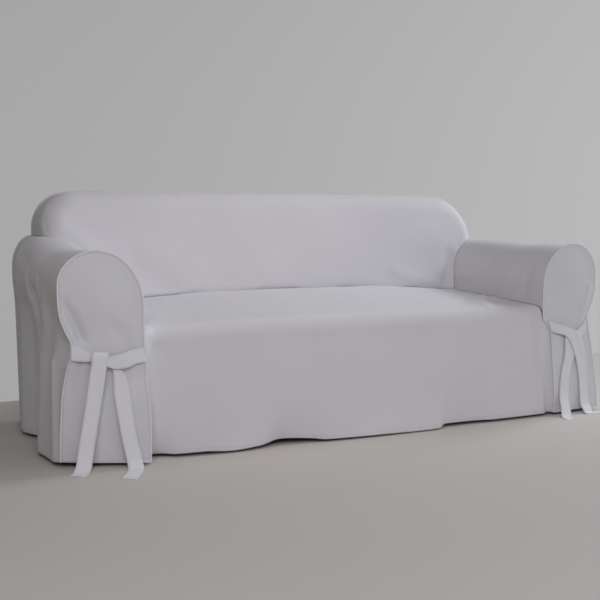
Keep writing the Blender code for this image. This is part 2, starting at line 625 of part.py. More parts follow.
def panel_outline(arm):
    """Out, depth and height round the panel, from the inner hem corner over the roll to the outer one."""
    inner = np.array(arm.inner_edge, float)
    inner_height = np.linspace(inner[0, 0], inner[-1, 0], SKIRT_PARTS + 1 - SIDE_PARTS)
    inner_out = smooth_value(arm.inner_edge, inner_height)
    inner_depth = smooth_value(arm.inner_edge, inner_height, 2)
    station = np.concatenate([inner_stations(arm)[1:], np.linspace(2.0, 3.0, 7)[1:]])
    roll_out, roll_height = arm_section(arm, station, np.zeros(station.shape))
    drop = np.linspace(0.0, 1.0, SKIRT_PARTS + 1)[1:]
    seam_height = arm.outer_spring + (arm.seam[0][0] - arm.outer_spring) * drop
    seam_out = smooth_value(arm.seam, seam_height)
    seam_depth = smooth_value(arm.seam, seam_height, 2)
    out = np.concatenate([inner_out, roll_out, seam_out])
    height = np.concatenate([inner_height, roll_height, seam_height])
    depth = np.concatenate([inner_depth, np.zeros(roll_out.shape), seam_depth])
    return out, depth, height


def front_panel(arm):
    """Rings from a middle line, which ends at the middle of the roll, out to the proud seam."""
    out, depth, height = panel_outline(arm)
    tangent = np.gradient(np.stack([out, height]), axis=1)
    tangent = tangent / np.hypot(*tangent)
    edge_out = out - WELT * tangent[1]
    edge_height = height + WELT * tangent[0]
    edge_height[[0, -1]] = height[[0, -1]]
    low = slice(0, SKIRT_PARTS + 1)
    spine_height = np.full(height.shape, 0.5 * (arm.inner_spring + arm.outer_spring))
    spine_height[low] = 0.5 * (height[low] + height[::-1][low])
    spine_height[::-1][low] = spine_height[low]
    shares = np.array([0.0, 0.22, 0.43, 0.62, 0.78, 0.90, RELIEF_ENDS, 1.0])[None, :]
    place_out = edge_out[:, None] * shares + arm.crown_out * (1.0 - shares)
    place_height = edge_height[:, None] * shares + spine_height[:, None] * (1.0 - shares)
    inner_key = np.minimum(place_height, arm.inner_edge[-1][0])
    outer_key = np.minimum(place_height, arm.outer_spring)
    inner_out, inner_depth = (smooth_value(arm.inner_edge, inner_key, column) for column in (1, 2))
    seam_out, seam_depth = (smooth_value(arm.seam, outer_key, column) for column in (1, 2))
    across = (place_out - inner_out) / (seam_out - inner_out)
    swing = inner_depth + (seam_depth - inner_depth) * across
    relief = np.zeros(place_out.shape)
    for fold in arm.panel_folds:
        relief = relief + trough(place_out, place_height, fold)
    relief = relief - PLUMP * ease(PLUMP_FROM, PLUMP_FULL, place_height) * (1.0 - shares**2) ** 2
    swing = swing + relief * np.maximum(0.0, 1.0 - (shares / RELIEF_ENDS) ** 4)
    return in_place(arm.side * (ARM_MIDDLE + place_out), swing, place_height)


# --- Outside back ---


def outside_back(left, right):
    """Rows from the hem to the top edge, each a straight run between the two side edges."""
    edges = []
    for arm in (left, right):
        station = np.concatenate([3.0 + np.linspace(1.0, 0.0, 9), np.linspace(3.0, 2.0, 6)[1:]])
        out, height = arm_section(arm, station, np.full(station.shape, REAR))
        turn = np.linspace(0.0, 0.5 * np.pi, 7)
        spring = BACK_TOP - arm.corner
        corner_out = arm.crown_out - arm.corner * (1.0 - np.cos(turn))
        out = np.concatenate([out, corner_out])
        height = np.concatenate([height, spring + arm.corner * np.sin(turn)])
        tangent = np.gradient(np.stack([out, height]), axis=1)
        tangent = tangent / np.hypot(*tangent)
        out = out + REAR_WELT * tangent[1]
        height[1:] = (height - REAR_WELT * tangent[0])[1:]
        edges.append(np.stack([arm.side * (ARM_MIDDLE + out), height], axis=1))
    share = np.linspace(0.0, 1.0, 17)[None, :, None]
    flat = edges[0][:, None, :] * (1.0 - share) + edges[1][:, None, :] * share
    across, height = flat[..., 0], flat[..., 1]
    height = height + crown(across) * ease(CROWN_FROM, BACK_TOP, height)
    depth = np.full(across.shape, REAR + SEAM_GAP + CLOTH)
    side = np.minimum(1.0, SIDE_FADE * np.minimum(share, 1.0 - share)[..., 0])
    for middle, half_width, reach in REAR_FOLDS:
        growth = 1.0 - ease(FOLDS_FULL, FOLDS_END, height)
        depth = depth + side * reach * growth * np.exp(-(((across - middle) / half_width) ** 2))
    return in_place(across, depth, height)


# --- Tie straps ---


def tie_strap(rows):
    """Sections across a strap, from one edge through the middle to the other, never below the floor."""
    sections = curve_through(rows, 2)
    one, other = sections[:, :3], sections[:, 3:]
    one[:, 2] = np.maximum(one[:, 2], 0.5 * CLOTH)
    other[:, 2] = np.maximum(other[:, 2], 0.5 * CLOTH)
    strap = np.stack([one, 0.5 * (one + other), other], axis=1)
    return in_place(strap[..., 0], strap[..., 1], strap[..., 2])


# --- Meshes ---


def cotton(name, colour):
    """Plain woven cotton."""
    material = bpy.data.materials.new(name)
    material.use_nodes = True
    shader = material.node_tree.nodes["Principled BSDF"]
    shader.inputs["Base Color"].default_value = colour
    shader.inputs["Roughness"].default_value = 0.9
    shader.inputs["Metallic"].default_value = 0.0
    material.diffuse_color = colour
    return material


def cloth_piece(name, points, colour, kept=None, flip=False, middle=False):
    """A sheet through a grid of points, made solid to its inner side, or to both sides if middle is set."""
    rows, columns = points.shape[:2]
    index = np.arange(rows * columns).reshape(rows, columns)
    corners = [index[:-1, :-1], index[:-1, 1:], index[1:, 1:], index[1:, :-1]]
    faces = np.stack(corners[::-1] if flip else corners, axis=-1)
    faces = faces.reshape(-1, 4) if kept is None else faces[kept]
    mesh = bpy.data.meshes.new(name)
    mesh.from_pydata(points.reshape(-1, 3).tolist(), [], faces.tolist())
    cage = bmesh.new()
    cage.from_mesh(mesh)
    bmesh.ops.remove_doubles(cage, verts=cage.verts, dist=1e-6)
    bmesh.ops.delete(cage, geom=[v for v in cage.verts if not v.link_faces], context="VERTS")
    cage.to_mesh(mesh)
    cage.free()
    mesh.shade_smooth()
    mesh.materials.append(cotton(name + "_cotton", colour))
    piece = bpy.data.objects.new(name, mesh)
    sheet = piece.modifiers.new("Cloth thickness", "SOLIDIFY")
    sheet.thickness = CLOTH
    sheet.offset = 0.0 if middle else -1.0
    sheet.use_even_offset = not middle
    return piece


LEFT = Arm(
    "left",
    -1,
    0.015,
    0.490,
    0.567,
    0.133,
    0.035,
    0.135,
    LEFT_SEAM,
    LEFT_INNER_EDGE,
    LEFT_HEM,
    LEFT_OUTER_FOLDS,
    LEFT_PANEL_FOLDS,
    LEFT_OUTER_TIE,
    LEFT_INNER_TIE,
)
RIGHT = Arm(
    "right",
    1,
    0.012,
    0.500,
    0.550,
    0.130,
    0.010,
    0.170,
    RIGHT_SEAM,
    RIGHT_INNER_EDGE,
    RIGHT_HEM,
    RIGHT_OUTER_FOLDS,
    RIGHT_PANEL_FOLDS,
    RIGHT_OUTER_TIE,
    RIGHT_INNER_TIE,
)


def main():
    for old in list(bpy.data.objects):
        bpy.data.objects.remove(old)
    cover = bpy.data.collections.new("sofa_slipcover")
    bpy.context.scene.collection.children.link(cover)
    pieces = [
        cloth_piece("inside_back", inside_back(LEFT, RIGHT), WHITE_COTTON, flip=True),
        cloth_piece("outside_back", outside_back(LEFT, RIGHT), WHITE_COTTON, flip=True),
        cloth_piece("seat_and_skirt", seat_and_skirt(LEFT, RIGHT), WHITE_COTTON, flip=True),
    ]
    for arm in (LEFT, RIGHT):
        right = arm.side > 0
        points, kept = arm_piece(arm)
        pieces.append(cloth_piece("arm_" + arm.name, points, WHITE_COTTON, kept, flip=right))
        pieces.append(cloth_piece("arm_front_" + arm.name, front_panel(arm), WHITE_COTTON, flip=right))
        for place, rows in (("outer", arm.outer_tie), ("inner", arm.inner_tie)):
            name = f"tie_{arm.name}_{place}"
            pieces.append(cloth_piece(name, tie_strap(rows), TIE_COTTON, middle=True))
    for piece in pieces:
        cover.objects.link(piece)


main()
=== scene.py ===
"""Fitted white cotton slipcover for a three-seat sofa with rolled arms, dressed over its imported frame.

Every cut piece is a fine sheet worked out from two parameters, on the folds of the solid it stands for:
inside back, outside back, seat with its front skirt, two arm pieces, two front arm panels and four tie
straps. Metres, +Z up, the front faces -Y. "Depth" runs back from the fronts of the arms, "out" runs
outwards from the middle line of an arm, and "across" runs right from the middle of the sofa.
"""

from __future__ import annotations

import logging
import math
from dataclasses import dataclass, field
from enum import Enum

import bmesh
import bpy
import numpy as np
from mathutils import Matrix, Vector


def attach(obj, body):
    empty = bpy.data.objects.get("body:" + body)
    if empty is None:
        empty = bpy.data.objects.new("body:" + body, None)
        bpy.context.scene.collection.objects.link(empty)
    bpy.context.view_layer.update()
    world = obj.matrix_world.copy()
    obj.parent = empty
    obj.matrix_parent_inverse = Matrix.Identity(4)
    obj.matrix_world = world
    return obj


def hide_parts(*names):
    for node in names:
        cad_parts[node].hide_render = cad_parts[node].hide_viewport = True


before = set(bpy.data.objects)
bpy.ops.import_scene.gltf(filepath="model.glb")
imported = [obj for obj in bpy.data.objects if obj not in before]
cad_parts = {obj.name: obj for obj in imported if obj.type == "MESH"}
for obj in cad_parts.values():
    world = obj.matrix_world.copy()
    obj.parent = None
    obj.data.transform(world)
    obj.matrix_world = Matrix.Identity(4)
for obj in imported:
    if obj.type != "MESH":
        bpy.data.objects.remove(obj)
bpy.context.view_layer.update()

log = logging.getLogger("slipcover")
Grid = np.ndarray
Tree = bpy.types.NodeTree
Socket = bpy.types.NodeSocket
Pair = tuple[float, float]
GrainRow = tuple[float, int, float, float]

QUARTER = 0.5 * math.pi

# Stations of an arm's section: the top of its inner face, the crown of its roll, the top of its skirt
FACE_TOP, CROWN, SKIRT_TOP = 1.0, 2.0, 3.0


# --- Small shared formulas ---


def ease(low: float | Grid, high: float | Grid, value: float | Grid) -> Grid:
    """A smooth step.

    Args:
        low: where the step starts.
        high: where it ends.
        value: where it is wanted.

    Returns:
        0 up to low, 1 from high on, and three squares less two cubes of the share between them.
    """
    share = np.clip((value - low) / (high - low), 0.0, 1.0)
    return share * share * (3.0 - 2.0 * share)


def bell(value: Grid) -> Grid:
    """1 at nought and falling to both sides, as e to the power of minus the square."""
    return np.exp(-(value**2))


@dataclass(frozen=True)
class Curve:
    """Rows of a key and its values, joined by smooth curves that never overshoot a row.

    Each stretch is a cubic whose slopes at the rows are the harmonic means of the slopes of the straight
    stretches beside them, or level where those change sign.
    """

    rows: tuple[tuple[float, ...], ...]

    def at(self, key: float | Grid, column: int = 1) -> Grid:
        """The column's value.

        Args:
            key: values of the rows' first column.
            column: which value of the rows is wanted.

        Returns:
            The values on the curve, one for each key.
        """
        table = np.array(self.rows, float)
        keys, heights = table[:, 0], table[:, column]
        secants = np.diff(heights) / np.diff(keys)
        product = secants[1:] * secants[:-1]
        total = np.where(secants[1:] + secants[:-1] == 0.0, 1.0, secants[1:] + secants[:-1])
        middle = np.where(product > 0.0, 2.0 * product / total, 0.0)
        slopes = np.concatenate([secants[:1], middle, secants[-1:]])
        index = np.clip(np.searchsorted(keys, key) - 1, 0, len(keys) - 2)
        span = keys[index + 1] - keys[index]
        share = np.clip((key - keys[index]) / span, 0.0, 1.0)
        square, cube = share**2, share**3
        return (
            (2 * cube - 3 * square + 1) * heights[index]
            + (cube - 2 * square + share) * span * slopes[index]
            + (3 * square - 2 * cube) * heights[index + 1]
            + (cube - square) * span * slopes[index + 1]
        )


@dataclass(frozen=True)
class SoftNoise:
    """Smooth uneven heights from a seeded table, the same on every run.

    A point's height is the blend of the four table entries round it, by eased shares of its cell.
    """

    seed: int
    cell_a: float
    cell_b: float

    def at(self, a: Grid, b: Grid) -> Grid:
        """Heights from -1 to 1.

        Args:
            a: first surface coordinate in metres.
            b: second surface coordinate in metres.

        Returns:
            A height for each point.
        """
        size = 97
        table = np.random.default_rng(self.seed).uniform(-1.0, 1.0, (size, size))
        x, y = a / self.cell_a + 40.0, b / self.cell_b + 40.0
        left, low = np.floor(x).astype(int), np.floor(y).astype(int)
        share_x, share_y = x - left, y - low
        share_x = share_x**3 * (share_x * (6.0 * share_x - 15.0) + 10.0)
        share_y = share_y**3 * (share_y * (6.0 * share_y - 15.0) + 10.0)
        corner = [table[(left + i) % size, (low + j) % size] for i in (0, 1) for j in (0, 1)]
        first = corner[0] + (corner[1] - corner[0]) * share_y
        second = corner[2] + (corner[3] - corner[2]) * share_y
        return first + (second - first) * share_x


@dataclass(frozen=True)
class Fold:
    """A soft ridge or trough laid along a line on a surface."""

    start: Pair
    end: Pair
    half_width: float
    lift: float
    spread: float = 1.0
    bow: float = 0.0

    def height(self, a: Grid, b: Grid) -> Grid:
        """How far the fold lifts each point.

        The lift times a bell of the distance aside the line over the half width. The half width grows by
        the spread along the line, the line bows sideways as a parabola, and the bell fades past both ends.

        Args:
            a: first surface coordinate in metres.
            b: second surface coordinate in metres.

        Returns:
            Lifts in metres, negative for a trough.
        """
        run_a, run_b = self.end[0] - self.start[0], self.end[1] - self.start[1]
        length = math.hypot(run_a, run_b)
        along = ((a - self.start[0]) * run_a + (b - self.start[1]) * run_b) / length
        aside = ((a - self.start[0]) * run_b - (b - self.start[1]) * run_a) / length
        share = np.clip(along / length, 0.0, 1.0)
        aside = aside - 4.0 * self.bow * share * (1.0 - share)
        width = self.half_width * (1.0 + (self.spread - 1.0) * share)
        past = np.maximum(0.0, np.maximum(-along, along - length)) / width
        return self.lift * bell(aside / width) * bell(past)


def folds(*rows: tuple[float, ...]) -> tuple[Fold, ...]:
    """Folds from rows of a line's start and end, half width and lift, and of the spread and bow if any."""
    return tuple(Fold(row[:2], row[2:4], *row[4:]) for row in rows)


def folded(laid: tuple[Fold, ...], a: Grid, b: Grid) -> Grid:
    """The sum of the lifts of several folds at each point."""
    total = np.zeros(np.broadcast(a, b).shape)
    for fold in laid:
        total = total + fold.height(a, b)
    return total


def roughened(lift: float | Grid, a: Grid, b: Grid, *rows: GrainRow) -> Grid:
    """The lift plus soft unevenness, by rows of its size, its table's seed and its two cells in metres."""
    for size, seed, cell_a, cell_b in rows:
        lift = lift + size * SoftNoise(seed, cell_a, cell_b).at(a, b)
    return lift


def unit_tangents(out: Grid, height: Grid) -> Grid:
    """The direction of an outline at each of its points, as a row of parts out and a row of parts up."""
    tangent = np.gradient(np.stack([out, height]), axis=1)
    return tangent / np.hypot(*tangent)


def curve(*rows: tuple[float, ...]) -> Curve:
    """A curve through rows of a key and its values."""
    return Curve(rows)


def curve_through(knots: Grid, parts: int) -> Grid:
    """Points on a Catmull-Rom curve.

    Args:
        knots: one row of numbers for each knot.
        parts: how many parts each stretch is cut into.

    Returns:
        The points, which pass through every knot.
    """
    ends = np.vstack([2 * knots[0] - knots[1], knots, 2 * knots[-1] - knots[-2]])
    place = np.linspace(0, len(knots) - 1, parts * (len(knots) - 1) + 1)
    index = np.minimum(place.astype(int), len(knots) - 2)
    share = (place - index)[:, None]
    a, b, c, d = (ends[index + step] for step in range(4))
    return 0.5 * (
        2 * b
        + (c - a) * share
        + (2 * a - 5 * b + 4 * c - d) * share**2
        + (3 * b - 3 * c + d - a) * share**3
    )


def linear_from_hex(code: str) -> tuple[float, float, float, float]:
    """An sRGB hex colour as the linear values that shaders take, with full alpha."""
    values = [int(code[k : k + 2], 16) / 255.0 for k in (1, 3, 5)]
    linear = [c / 12.92 if c <= 0.04045 else ((c + 0.055) / 1.055) ** 2.4 for c in values]
    return (linear[0], linear[1], linear[2], 1.0)


# --- Finishes ---


def add_node(tree: Tree, kind: str, inputs: dict | None = None, **settings) -> bpy.types.Node:
    """A shader node with its settings and links.

    Args:
        tree: the node tree it goes into.
        kind: Blender's name for the node.
        inputs: for each socket, by name or number, a value or the output socket that feeds it.
        settings: the node's own properties.

    Returns:
        The new node.
    """
    node = tree.nodes.new(kind)
    for key, value in settings.items():
        setattr(node, key, value)
    for key, value in (inputs or {}).items():
        if isinstance(value, Socket):
            tree.links.new(value, node.inputs[key])
        else:
            node.inputs[key].default_value = value
    return node


def maths(tree: Tree, operation: str, *values: float | Socket) -> Socket:
    """The output of a Math node with this operation, fed by numbers or by output sockets."""
    return add_node(tree, "ShaderNodeMath", dict(enumerate(values)), operation=operation).outputs[0]


def sheet_map(tree: Tree, name: str) -> bpy.types.NodeOutputs:
    """The two parts of one of the sheet's own maps in metres, as the outputs X and Y."""
    place = add_node(tree, "ShaderNodeUVMap", uv_map=name).outputs[0]
    return add_node(tree, "ShaderNodeSeparateXYZ", {0: place}).outputs


def blend(tree: Tree, share: Socket, *colours: Socket | tuple[float, ...]) -> Socket:
    """The colour a share of the way from the first of two colours to the second."""
    inputs = {0: share, 6: colours[0], 7: colours[1]}
    return add_node(tree, "ShaderNodeMix", inputs, data_type="RGBA").outputs[2]


def fade(
    tree: Tree,
    value: Socket,
    span: Pair,
    levels: Pair = (0.0, 1.0),
    kind: str = "SMOOTHSTEP",
) -> Socket:
    """One level up to the start of a span and another from its end.

    Args:
        tree: the node tree it goes into.
        value: the socket that is read.
        span: the values between which it fades.
        levels: what it gives at the span's start and end.
        kind: Blender's name for the way between them.

    Returns:
        The output socket.
    """
    inputs = {"Value": value, "From Min": span[0], "From Max": span[1]}
    inputs.update({"To Min": levels[0], "To Max": levels[1]})
    return add_node(tree, "ShaderNodeMapRange", inputs, interpolation_type=kind).outputs[0]


def painted(name: str, **values: float) -> tuple[bpy.types.Material, bpy.types.Node]:
    """A new material with its shader.

    Args:
        name: the real name of the finish.
        values: for each of the shader's sockets, with underscores for spaces, its constant.

    Returns:
        The material and its shader node.
    """
    made = bpy.data.materials.new(name)
    made.use_nodes = True
    shader = made.node_tree.nodes["Principled BSDF"]
    for socket, value in values.items():
        shader.inputs[socket.replace("_", " ")].default_value = value
    return made, shader


@dataclass(frozen=True)
class WovenCotton:
    """Plain-woven washed cotton: dull, faintly downy at grazing angles, with a fine even weave.

    The threads of such cloth lie about half a millimetre apart, which is too fine to show. They are drawn
    thread_mm apart, so that they show from a step away. The crumples are what pressing leaves.
    """

    name: str
    colour: str
    shade: str
    thread_mm: float = 1.6
    weave_depth_mm: float = 0.10
    crumple_mm: float = 46.0
    crumple_depth_mm: float = 0.9
    crumple_twist: float = 0.4
    weave_strength: float = 0.55
    drift_scale: float = 5.0
    stitch_mm: float = 3.2
    stitch_inset_mm: float = 11.0
    stitch_depth_mm: float = 0.9
    stitch_strength: float = 0.8
    thread_half_mm: Pair = (0.4, 0.9)
    thread_rise: float = 0.9
    furrow_half_mm: float = 2.4
    stitch_gap: Pair = (-0.7, -0.4)
    roughness: float = 0.88
    downy: float = 0.12
    # A painted highlight: a paler colour within a few millimetres of a seam, for the light a proud seam's
    # edge catches; off while the outer distance is nought.
    seam_highlight_colour: str = "#EBEAEE"
    seam_highlight_mm: Pair = (0.0, 0.0)

    def material(self) -> bpy.types.Material:
        """The cotton as a node material.

        The weave is the product of two sines that follow the sheet's own map in metres. The colour drifts
        between two close tones by slow noise. A row of stitches runs at a set distance from each hem.

        Returns:
            A material whose colour, bump and sheen need no image.
        """
        made, shader = painted(
            self.name,
            Roughness=self.roughness,
            Metallic=0.0,
            IOR=1.45,
            Specular_IOR_Level=0.25,
            Sheen_Weight=self.downy,
            Sheen_Roughness=0.55,
        )
        tree = made.node_tree
        place = add_node(tree, "ShaderNodeTexCoord").outputs["Object"]
        slow = {"Vector": place, "Scale": self.drift_scale, "Detail": 3.0, "Roughness": 0.55}
        drift = add_node(tree, "ShaderNodeTexNoise", slow).outputs["Fac"]
        colour = blend(tree, drift, linear_from_hex(self.shade), linear_from_hex(self.colour))
        # Painted highlight along the seams, only where a band is asked for.
        if self.seam_highlight_mm[1] > 0.0:
            colour = self._painted_seam_highlight(tree, colour)
        tree.links.new(colour, shader.inputs["Base Color"])
        relief = (
            (self._crumple(tree, place), self.crumple_depth_mm, 1.0),
            (self._weave(tree), self.weave_depth_mm, self.weave_strength),
            (self._stitches(tree), self.stitch_depth_mm, self.stitch_strength),
        )
        normal = {}
        for height, depth_mm, strength in relief:
            inputs = {"Height": height, "Distance": depth_mm / 1000.0, "Strength": strength, **normal}
            normal = {"Normal": add_node(tree, "ShaderNodeBump", inputs).outputs["Normal"]}
        tree.links.new(normal["Normal"], shader.inputs["Normal"])
        return made

    def _weave(self, tree: Tree) -> Socket:
        """Over and under: the sine along one thread times the sine along the other, from the weave map."""
        parts = sheet_map(tree, ClothSheet.WEAVE_MAP)
        turns = 2.0 * math.pi / (self.thread_mm / 1000.0)
        waves = [maths(tree, "SINE", maths(tree, "MULTIPLY", parts[axis], turns)) for axis in ("X", "Y")]
        return maths(tree, "MULTIPLY", *waves)

    def _crumple(self, tree: Tree, place: Socket) -> Socket:
        """Slow noise whose crests lie about crumple_mm apart."""
        inputs = {"Vector": place, "Scale": 1000.0 / self.crumple_mm, "Detail": 2.5, "Roughness": 0.5}
        inputs["Distortion"] = self.crumple_twist
        return add_node(tree, "ShaderNodeTexNoise", inputs).outputs["Fac"]

    def _painted_seam_highlight(self, tree: Tree, colour: Socket) -> Socket:
        """A painted highlight: a paler tone within a few millimetres of a seam, for the light that the proud
        seam's edge catches.
        """
        distance = sheet_map(tree, ClothSheet.STITCH_MAP)["Y"]
        full, none = (value / 1000.0 for value in self.seam_highlight_mm)
        share = fade(tree, distance, (full, none), (1.0, 0.0))
        return blend(tree, share, colour, linear_from_hex(self.seam_highlight_colour))

    def _stitches(self, tree: Tree) -> Socket:
        """Short raised stitches in a shallow furrow, by the stitch map's run and distance from the edge."""
        parts = sheet_map(tree, ClothSheet.STITCH_MAP)
        aside = maths(tree, "SUBTRACT", parts["Y"], self.stitch_inset_mm / 1000.0)
        near = maths(tree, "ABSOLUTE", aside)
        furrow = fade(tree, near, (0.0, self.furrow_half_mm / 1000.0))
        turns = 2.0 * math.pi / (self.stitch_mm / 1000.0)
        dash = maths(tree, "SINE", maths(tree, "MULTIPLY", parts["X"], turns))
        inner, outer = (value / 1000.0 for value in self.thread_half_mm)
        thread = fade(tree, near, (inner, outer), (self.thread_rise, 0.0))
        shown = fade(tree, dash, self.stitch_gap, kind="LINEAR")
        return maths(tree, "ADD", furrow, maths(tree, "MULTIPLY", thread, shown))


@dataclass(frozen=True)
class PaleFloor:
    """Smooth pale stone-grey floor paint, dull enough to show only soft shadows."""

    name: str = "pale floor paint"
    colour: str = "#CFCAC4"
    roughness: float = 0.7

    def material(self) -> bpy.types.Material:
        """The floor's paint."""
        made, shader = painted(self.name, Roughness=self.roughness, Specular_IOR_Level=0.25)
        shader.inputs["Base Color"].default_value = linear_from_hex(self.colour)
        return made


# --- A sheet of cloth on a grid ---


class Hold(Enum):
    """What keeps a sheet in its shape."""

    DRAPED = "draped"
    HUNG = "hung"
    STRETCHED = "stretched"


@dataclass
class ClothSheet:
    """A grid of points that becomes one thin sheet with its weave and stitch maps."""

    name: str
    points: Grid
    flat: Pair
    turned: bool = False
    kept: Grid | None = None
    both_sides: bool = False
    edge_run: Grid | None = None
    edge_distance: Grid | None = None
    area: float | None = None
    held: Hold = Hold.DRAPED
    slot: str = "white_cotton"
    finish: str = "white_cotton"

    WEAVE_MAP = "weave"
    STITCH_MAP = "stitch"
    THICKNESS = 0.002

    def runs(self) -> tuple[Grid, Grid]:
        """Distances in metres along the columns and along the rows, summed from the first point."""
        down = np.linalg.norm(np.diff(self.points, axis=0), axis=2)
        across = np.linalg.norm(np.diff(self.points, axis=1), axis=2)
        down = np.vstack([np.zeros((1, down.shape[1])), np.cumsum(down, axis=0)])
        across = np.hstack([np.zeros((across.shape[0], 1)), np.cumsum(across, axis=1)])
        return across, down

    def outwards(self) -> Grid:
        """Unit vectors that point out of the sheet: the cross product of its two tangents."""
        tangent_across = np.gradient(self.points, axis=1)
        tangent_down = np.gradient(self.points, axis=0)
        normal = np.cross(tangent_across, tangent_down)
        length = np.maximum(np.linalg.norm(normal, axis=2, keepdims=True), 1e-12)
        return normal / length * (-1.0 if self.turned else 1.0)

    def lift(self, height: Grid) -> None:
        """Moves every point outwards by its height."""
        self.points = self.points + self.outwards() * height[..., None]

    def build(self, finish: bpy.types.Material) -> bpy.types.Object:
        """Makes the sheet an object with a thickness.

        Args:
            finish: the cloth's material.

        Returns:
            The finished piece, linked to the scene.
        """
        rows, columns = self.points.shape[:2]
        index = np.arange(rows * columns).reshape(rows, columns)
        corners = [index[:-1, :-1], index[:-1, 1:], index[1:, 1:], index[1:, :-1]]
        faces = np.stack(corners[::-1] if self.turned else corners, axis=-1)
        faces = faces.reshape(-1, 4) if self.kept is None else faces[self.kept]
        mesh = bpy.data.meshes.new(self.name)
        mesh.from_pydata(self.points.reshape(-1, 3), [], faces)
        across, down = self.runs()
        run = across if self.edge_run is None else self.edge_run
        distance = np.full(run.shape, 1.0) if self.edge_distance is None else self.edge_distance
        for name, first, second in ((self.WEAVE_MAP, across, down), (self.STITCH_MAP, run, distance)):
            corner_values = np.stack([first.ravel()[faces.ravel()], second.ravel()[faces.ravel()]], axis=1)
            layer = mesh.uv_layers.new(name=name)
            layer.data.foreach_set("uv", corner_values.ravel().astype(np.float32))
        cage = bmesh.new()
        cage.from_mesh(mesh)
        bmesh.ops.remove_doubles(cage, verts=cage.verts, dist=1e-6)
        bmesh.ops.delete(cage, geom=[v for v in cage.verts if not v.link_faces], context="VERTS")
        cage.to_mesh(mesh)
        cage.free()
        mesh.shade_smooth()
        mesh.materials.append(finish)
        piece = bpy.data.objects.new(self.name + "_cloth", mesh)
        bpy.context.scene.collection.objects.link(piece)
        wall = piece.modifiers.new("Cloth thickness", "SOLIDIFY")
        wall.thickness = self.THICKNESS
        wall.offset = 0.0 if self.both_sides else -1.0
        return piece


# --- The form that the cloth lies on ---


@dataclass(frozen=True)
class SofaForm:
    """Overall sizes of the seat and back, and the surfaces they give.

    slot is how far the cloth is pushed in between seat and back, slot_height the height over which that
    fades, and slot_reach the share of it that the seat's own edge follows, so that the two stay apart.
    """

    arm_middle: float = 0.9455
    arm_inner: float = 0.133
    arm_top: float = 0.668
    back_top: float = 0.868
    rear: float = 0.83
    depth_middle: float = 0.327
    across_middle: float = 0.0085
    crease_depth: float = 0.575
    crease_height: float = 0.451
    back_lean: float = 0.30
    back_pad: float = 0.012
    back_rounding: float = 0.065
    back_crown: float = 0.004
    crease_tuck: float = 0.010
    tuck_length: float = 0.018
    rise_starts: float = 0.30
    rise_ends: float = 0.55
    seat_fall: float = 0.060
    seat_crown: float = 0.033
    front_crown_share: float = 0.30
    nose_depth: float = 0.030
    nose_back: float = 0.075
    nose_foot: float = 0.375
    end_nose_back: float = 0.045
    end_nose_foot: float = 0.383
    seat_end: float = 0.050
    slot: float = 0.018
    slot_height: float = 0.006
    slot_reach: float = 0.90
    slot_cell: float = 0.085
    slot_uneven: Pair = (-0.75, 0.55)
    slot_ends: float = 0.06
    crown_power: float = 2.6
    top_half: float = 0.80
    seam_gap: float = 0.0003
    cloth: float = 0.002

    def in_place(self, across: Grid, depth: Grid, height: Grid) -> Grid:
        """Points of the shared frame from the distance right of the middle, the depth and the height."""
        across, depth, height = np.broadcast_arrays(across, depth, height)
        return np.stack([across - self.across_middle, depth - self.depth_middle, height], axis=-1)

    def seat_side_height(self, depth: Grid) -> Grid:
        """Height at which the seat meets an arm: a slow fall forwards, then a quarter round at the front."""
        forward = np.maximum(self.crease_depth - depth, 0.0)
        tuck = self.crease_tuck * (1.0 - np.exp(-forward / self.tuck_length))
        level = self.crease_height + tuck - self.seat_fall * forward
        flat_length = self.crease_depth - self.end_nose_back
        start = self.crease_height + self.crease_tuck - self.seat_fall * flat_length
        turn = np.clip((self.end_nose_back - depth) / (self.end_nose_back - self.cloth), 0.0, 1.0)
        nose = self.end_nose_foot + (start - self.end_nose_foot) * np.sqrt(1.0 - turn**2)
        return np.where(depth > self.end_nose_back, level, nose)

    def seat_rise(self, across: Grid) -> Grid:
        """How far the seat's crown lifts it: full in the middle, nothing at the arms."""
        half = self.arm_middle - self.arm_inner
        return self.seat_crown * (1.0 - np.clip(np.abs(across) / half, 0.0, 1.0) ** self.crown_power)

    def face_depth(self, across: Grid, height: Grid) -> Grid:
        """Depth of the back's face: it leans, swells a little, and is tucked in at the seat."""
        share = np.clip((height - self.crease_height) / (self.back_top - self.crease_height), 0.0, 1.0)
        above_seat = height - self.crease_height - self.seat_rise(across)
        tuck = self.crease_tuck * np.exp(-np.maximum(above_seat, 0.0) / self.tuck_length)
        lean = self.crease_depth - self.crease_tuck + self.back_lean * (height - self.crease_height)
        return lean + tuck - self.back_pad * np.sin(np.pi * share)

    def slot_depth(self, across: Grid, above: Grid) -> Grid:
        """How far the cloth is pushed in where the seat meets the back: a narrow uneven slot.

        Args:
            across: place across.
            above: height above the seat.

        Returns:
            Depths that fall off above the seat as e to the minus height over the slot's height.
        """
        uneven = ease(*self.slot_uneven, SoftNoise(5, self.slot_cell, 1.0).at(across, 0.0 * across))
        inside = ease(0.0, self.slot_ends, self.arm_middle - self.arm_inner - np.abs(across))
        return self.slot * uneven * inside * np.exp(-np.maximum(above, 0.0) / self.slot_height)

    def crown(self, across: Grid) -> Grid:
        """How far the top edge of the back stands higher in its middle, as a parabola."""
        return self.back_crown * (1.0 - np.clip(np.abs(across) / self.top_half, 0.0, 1.0) ** 2)


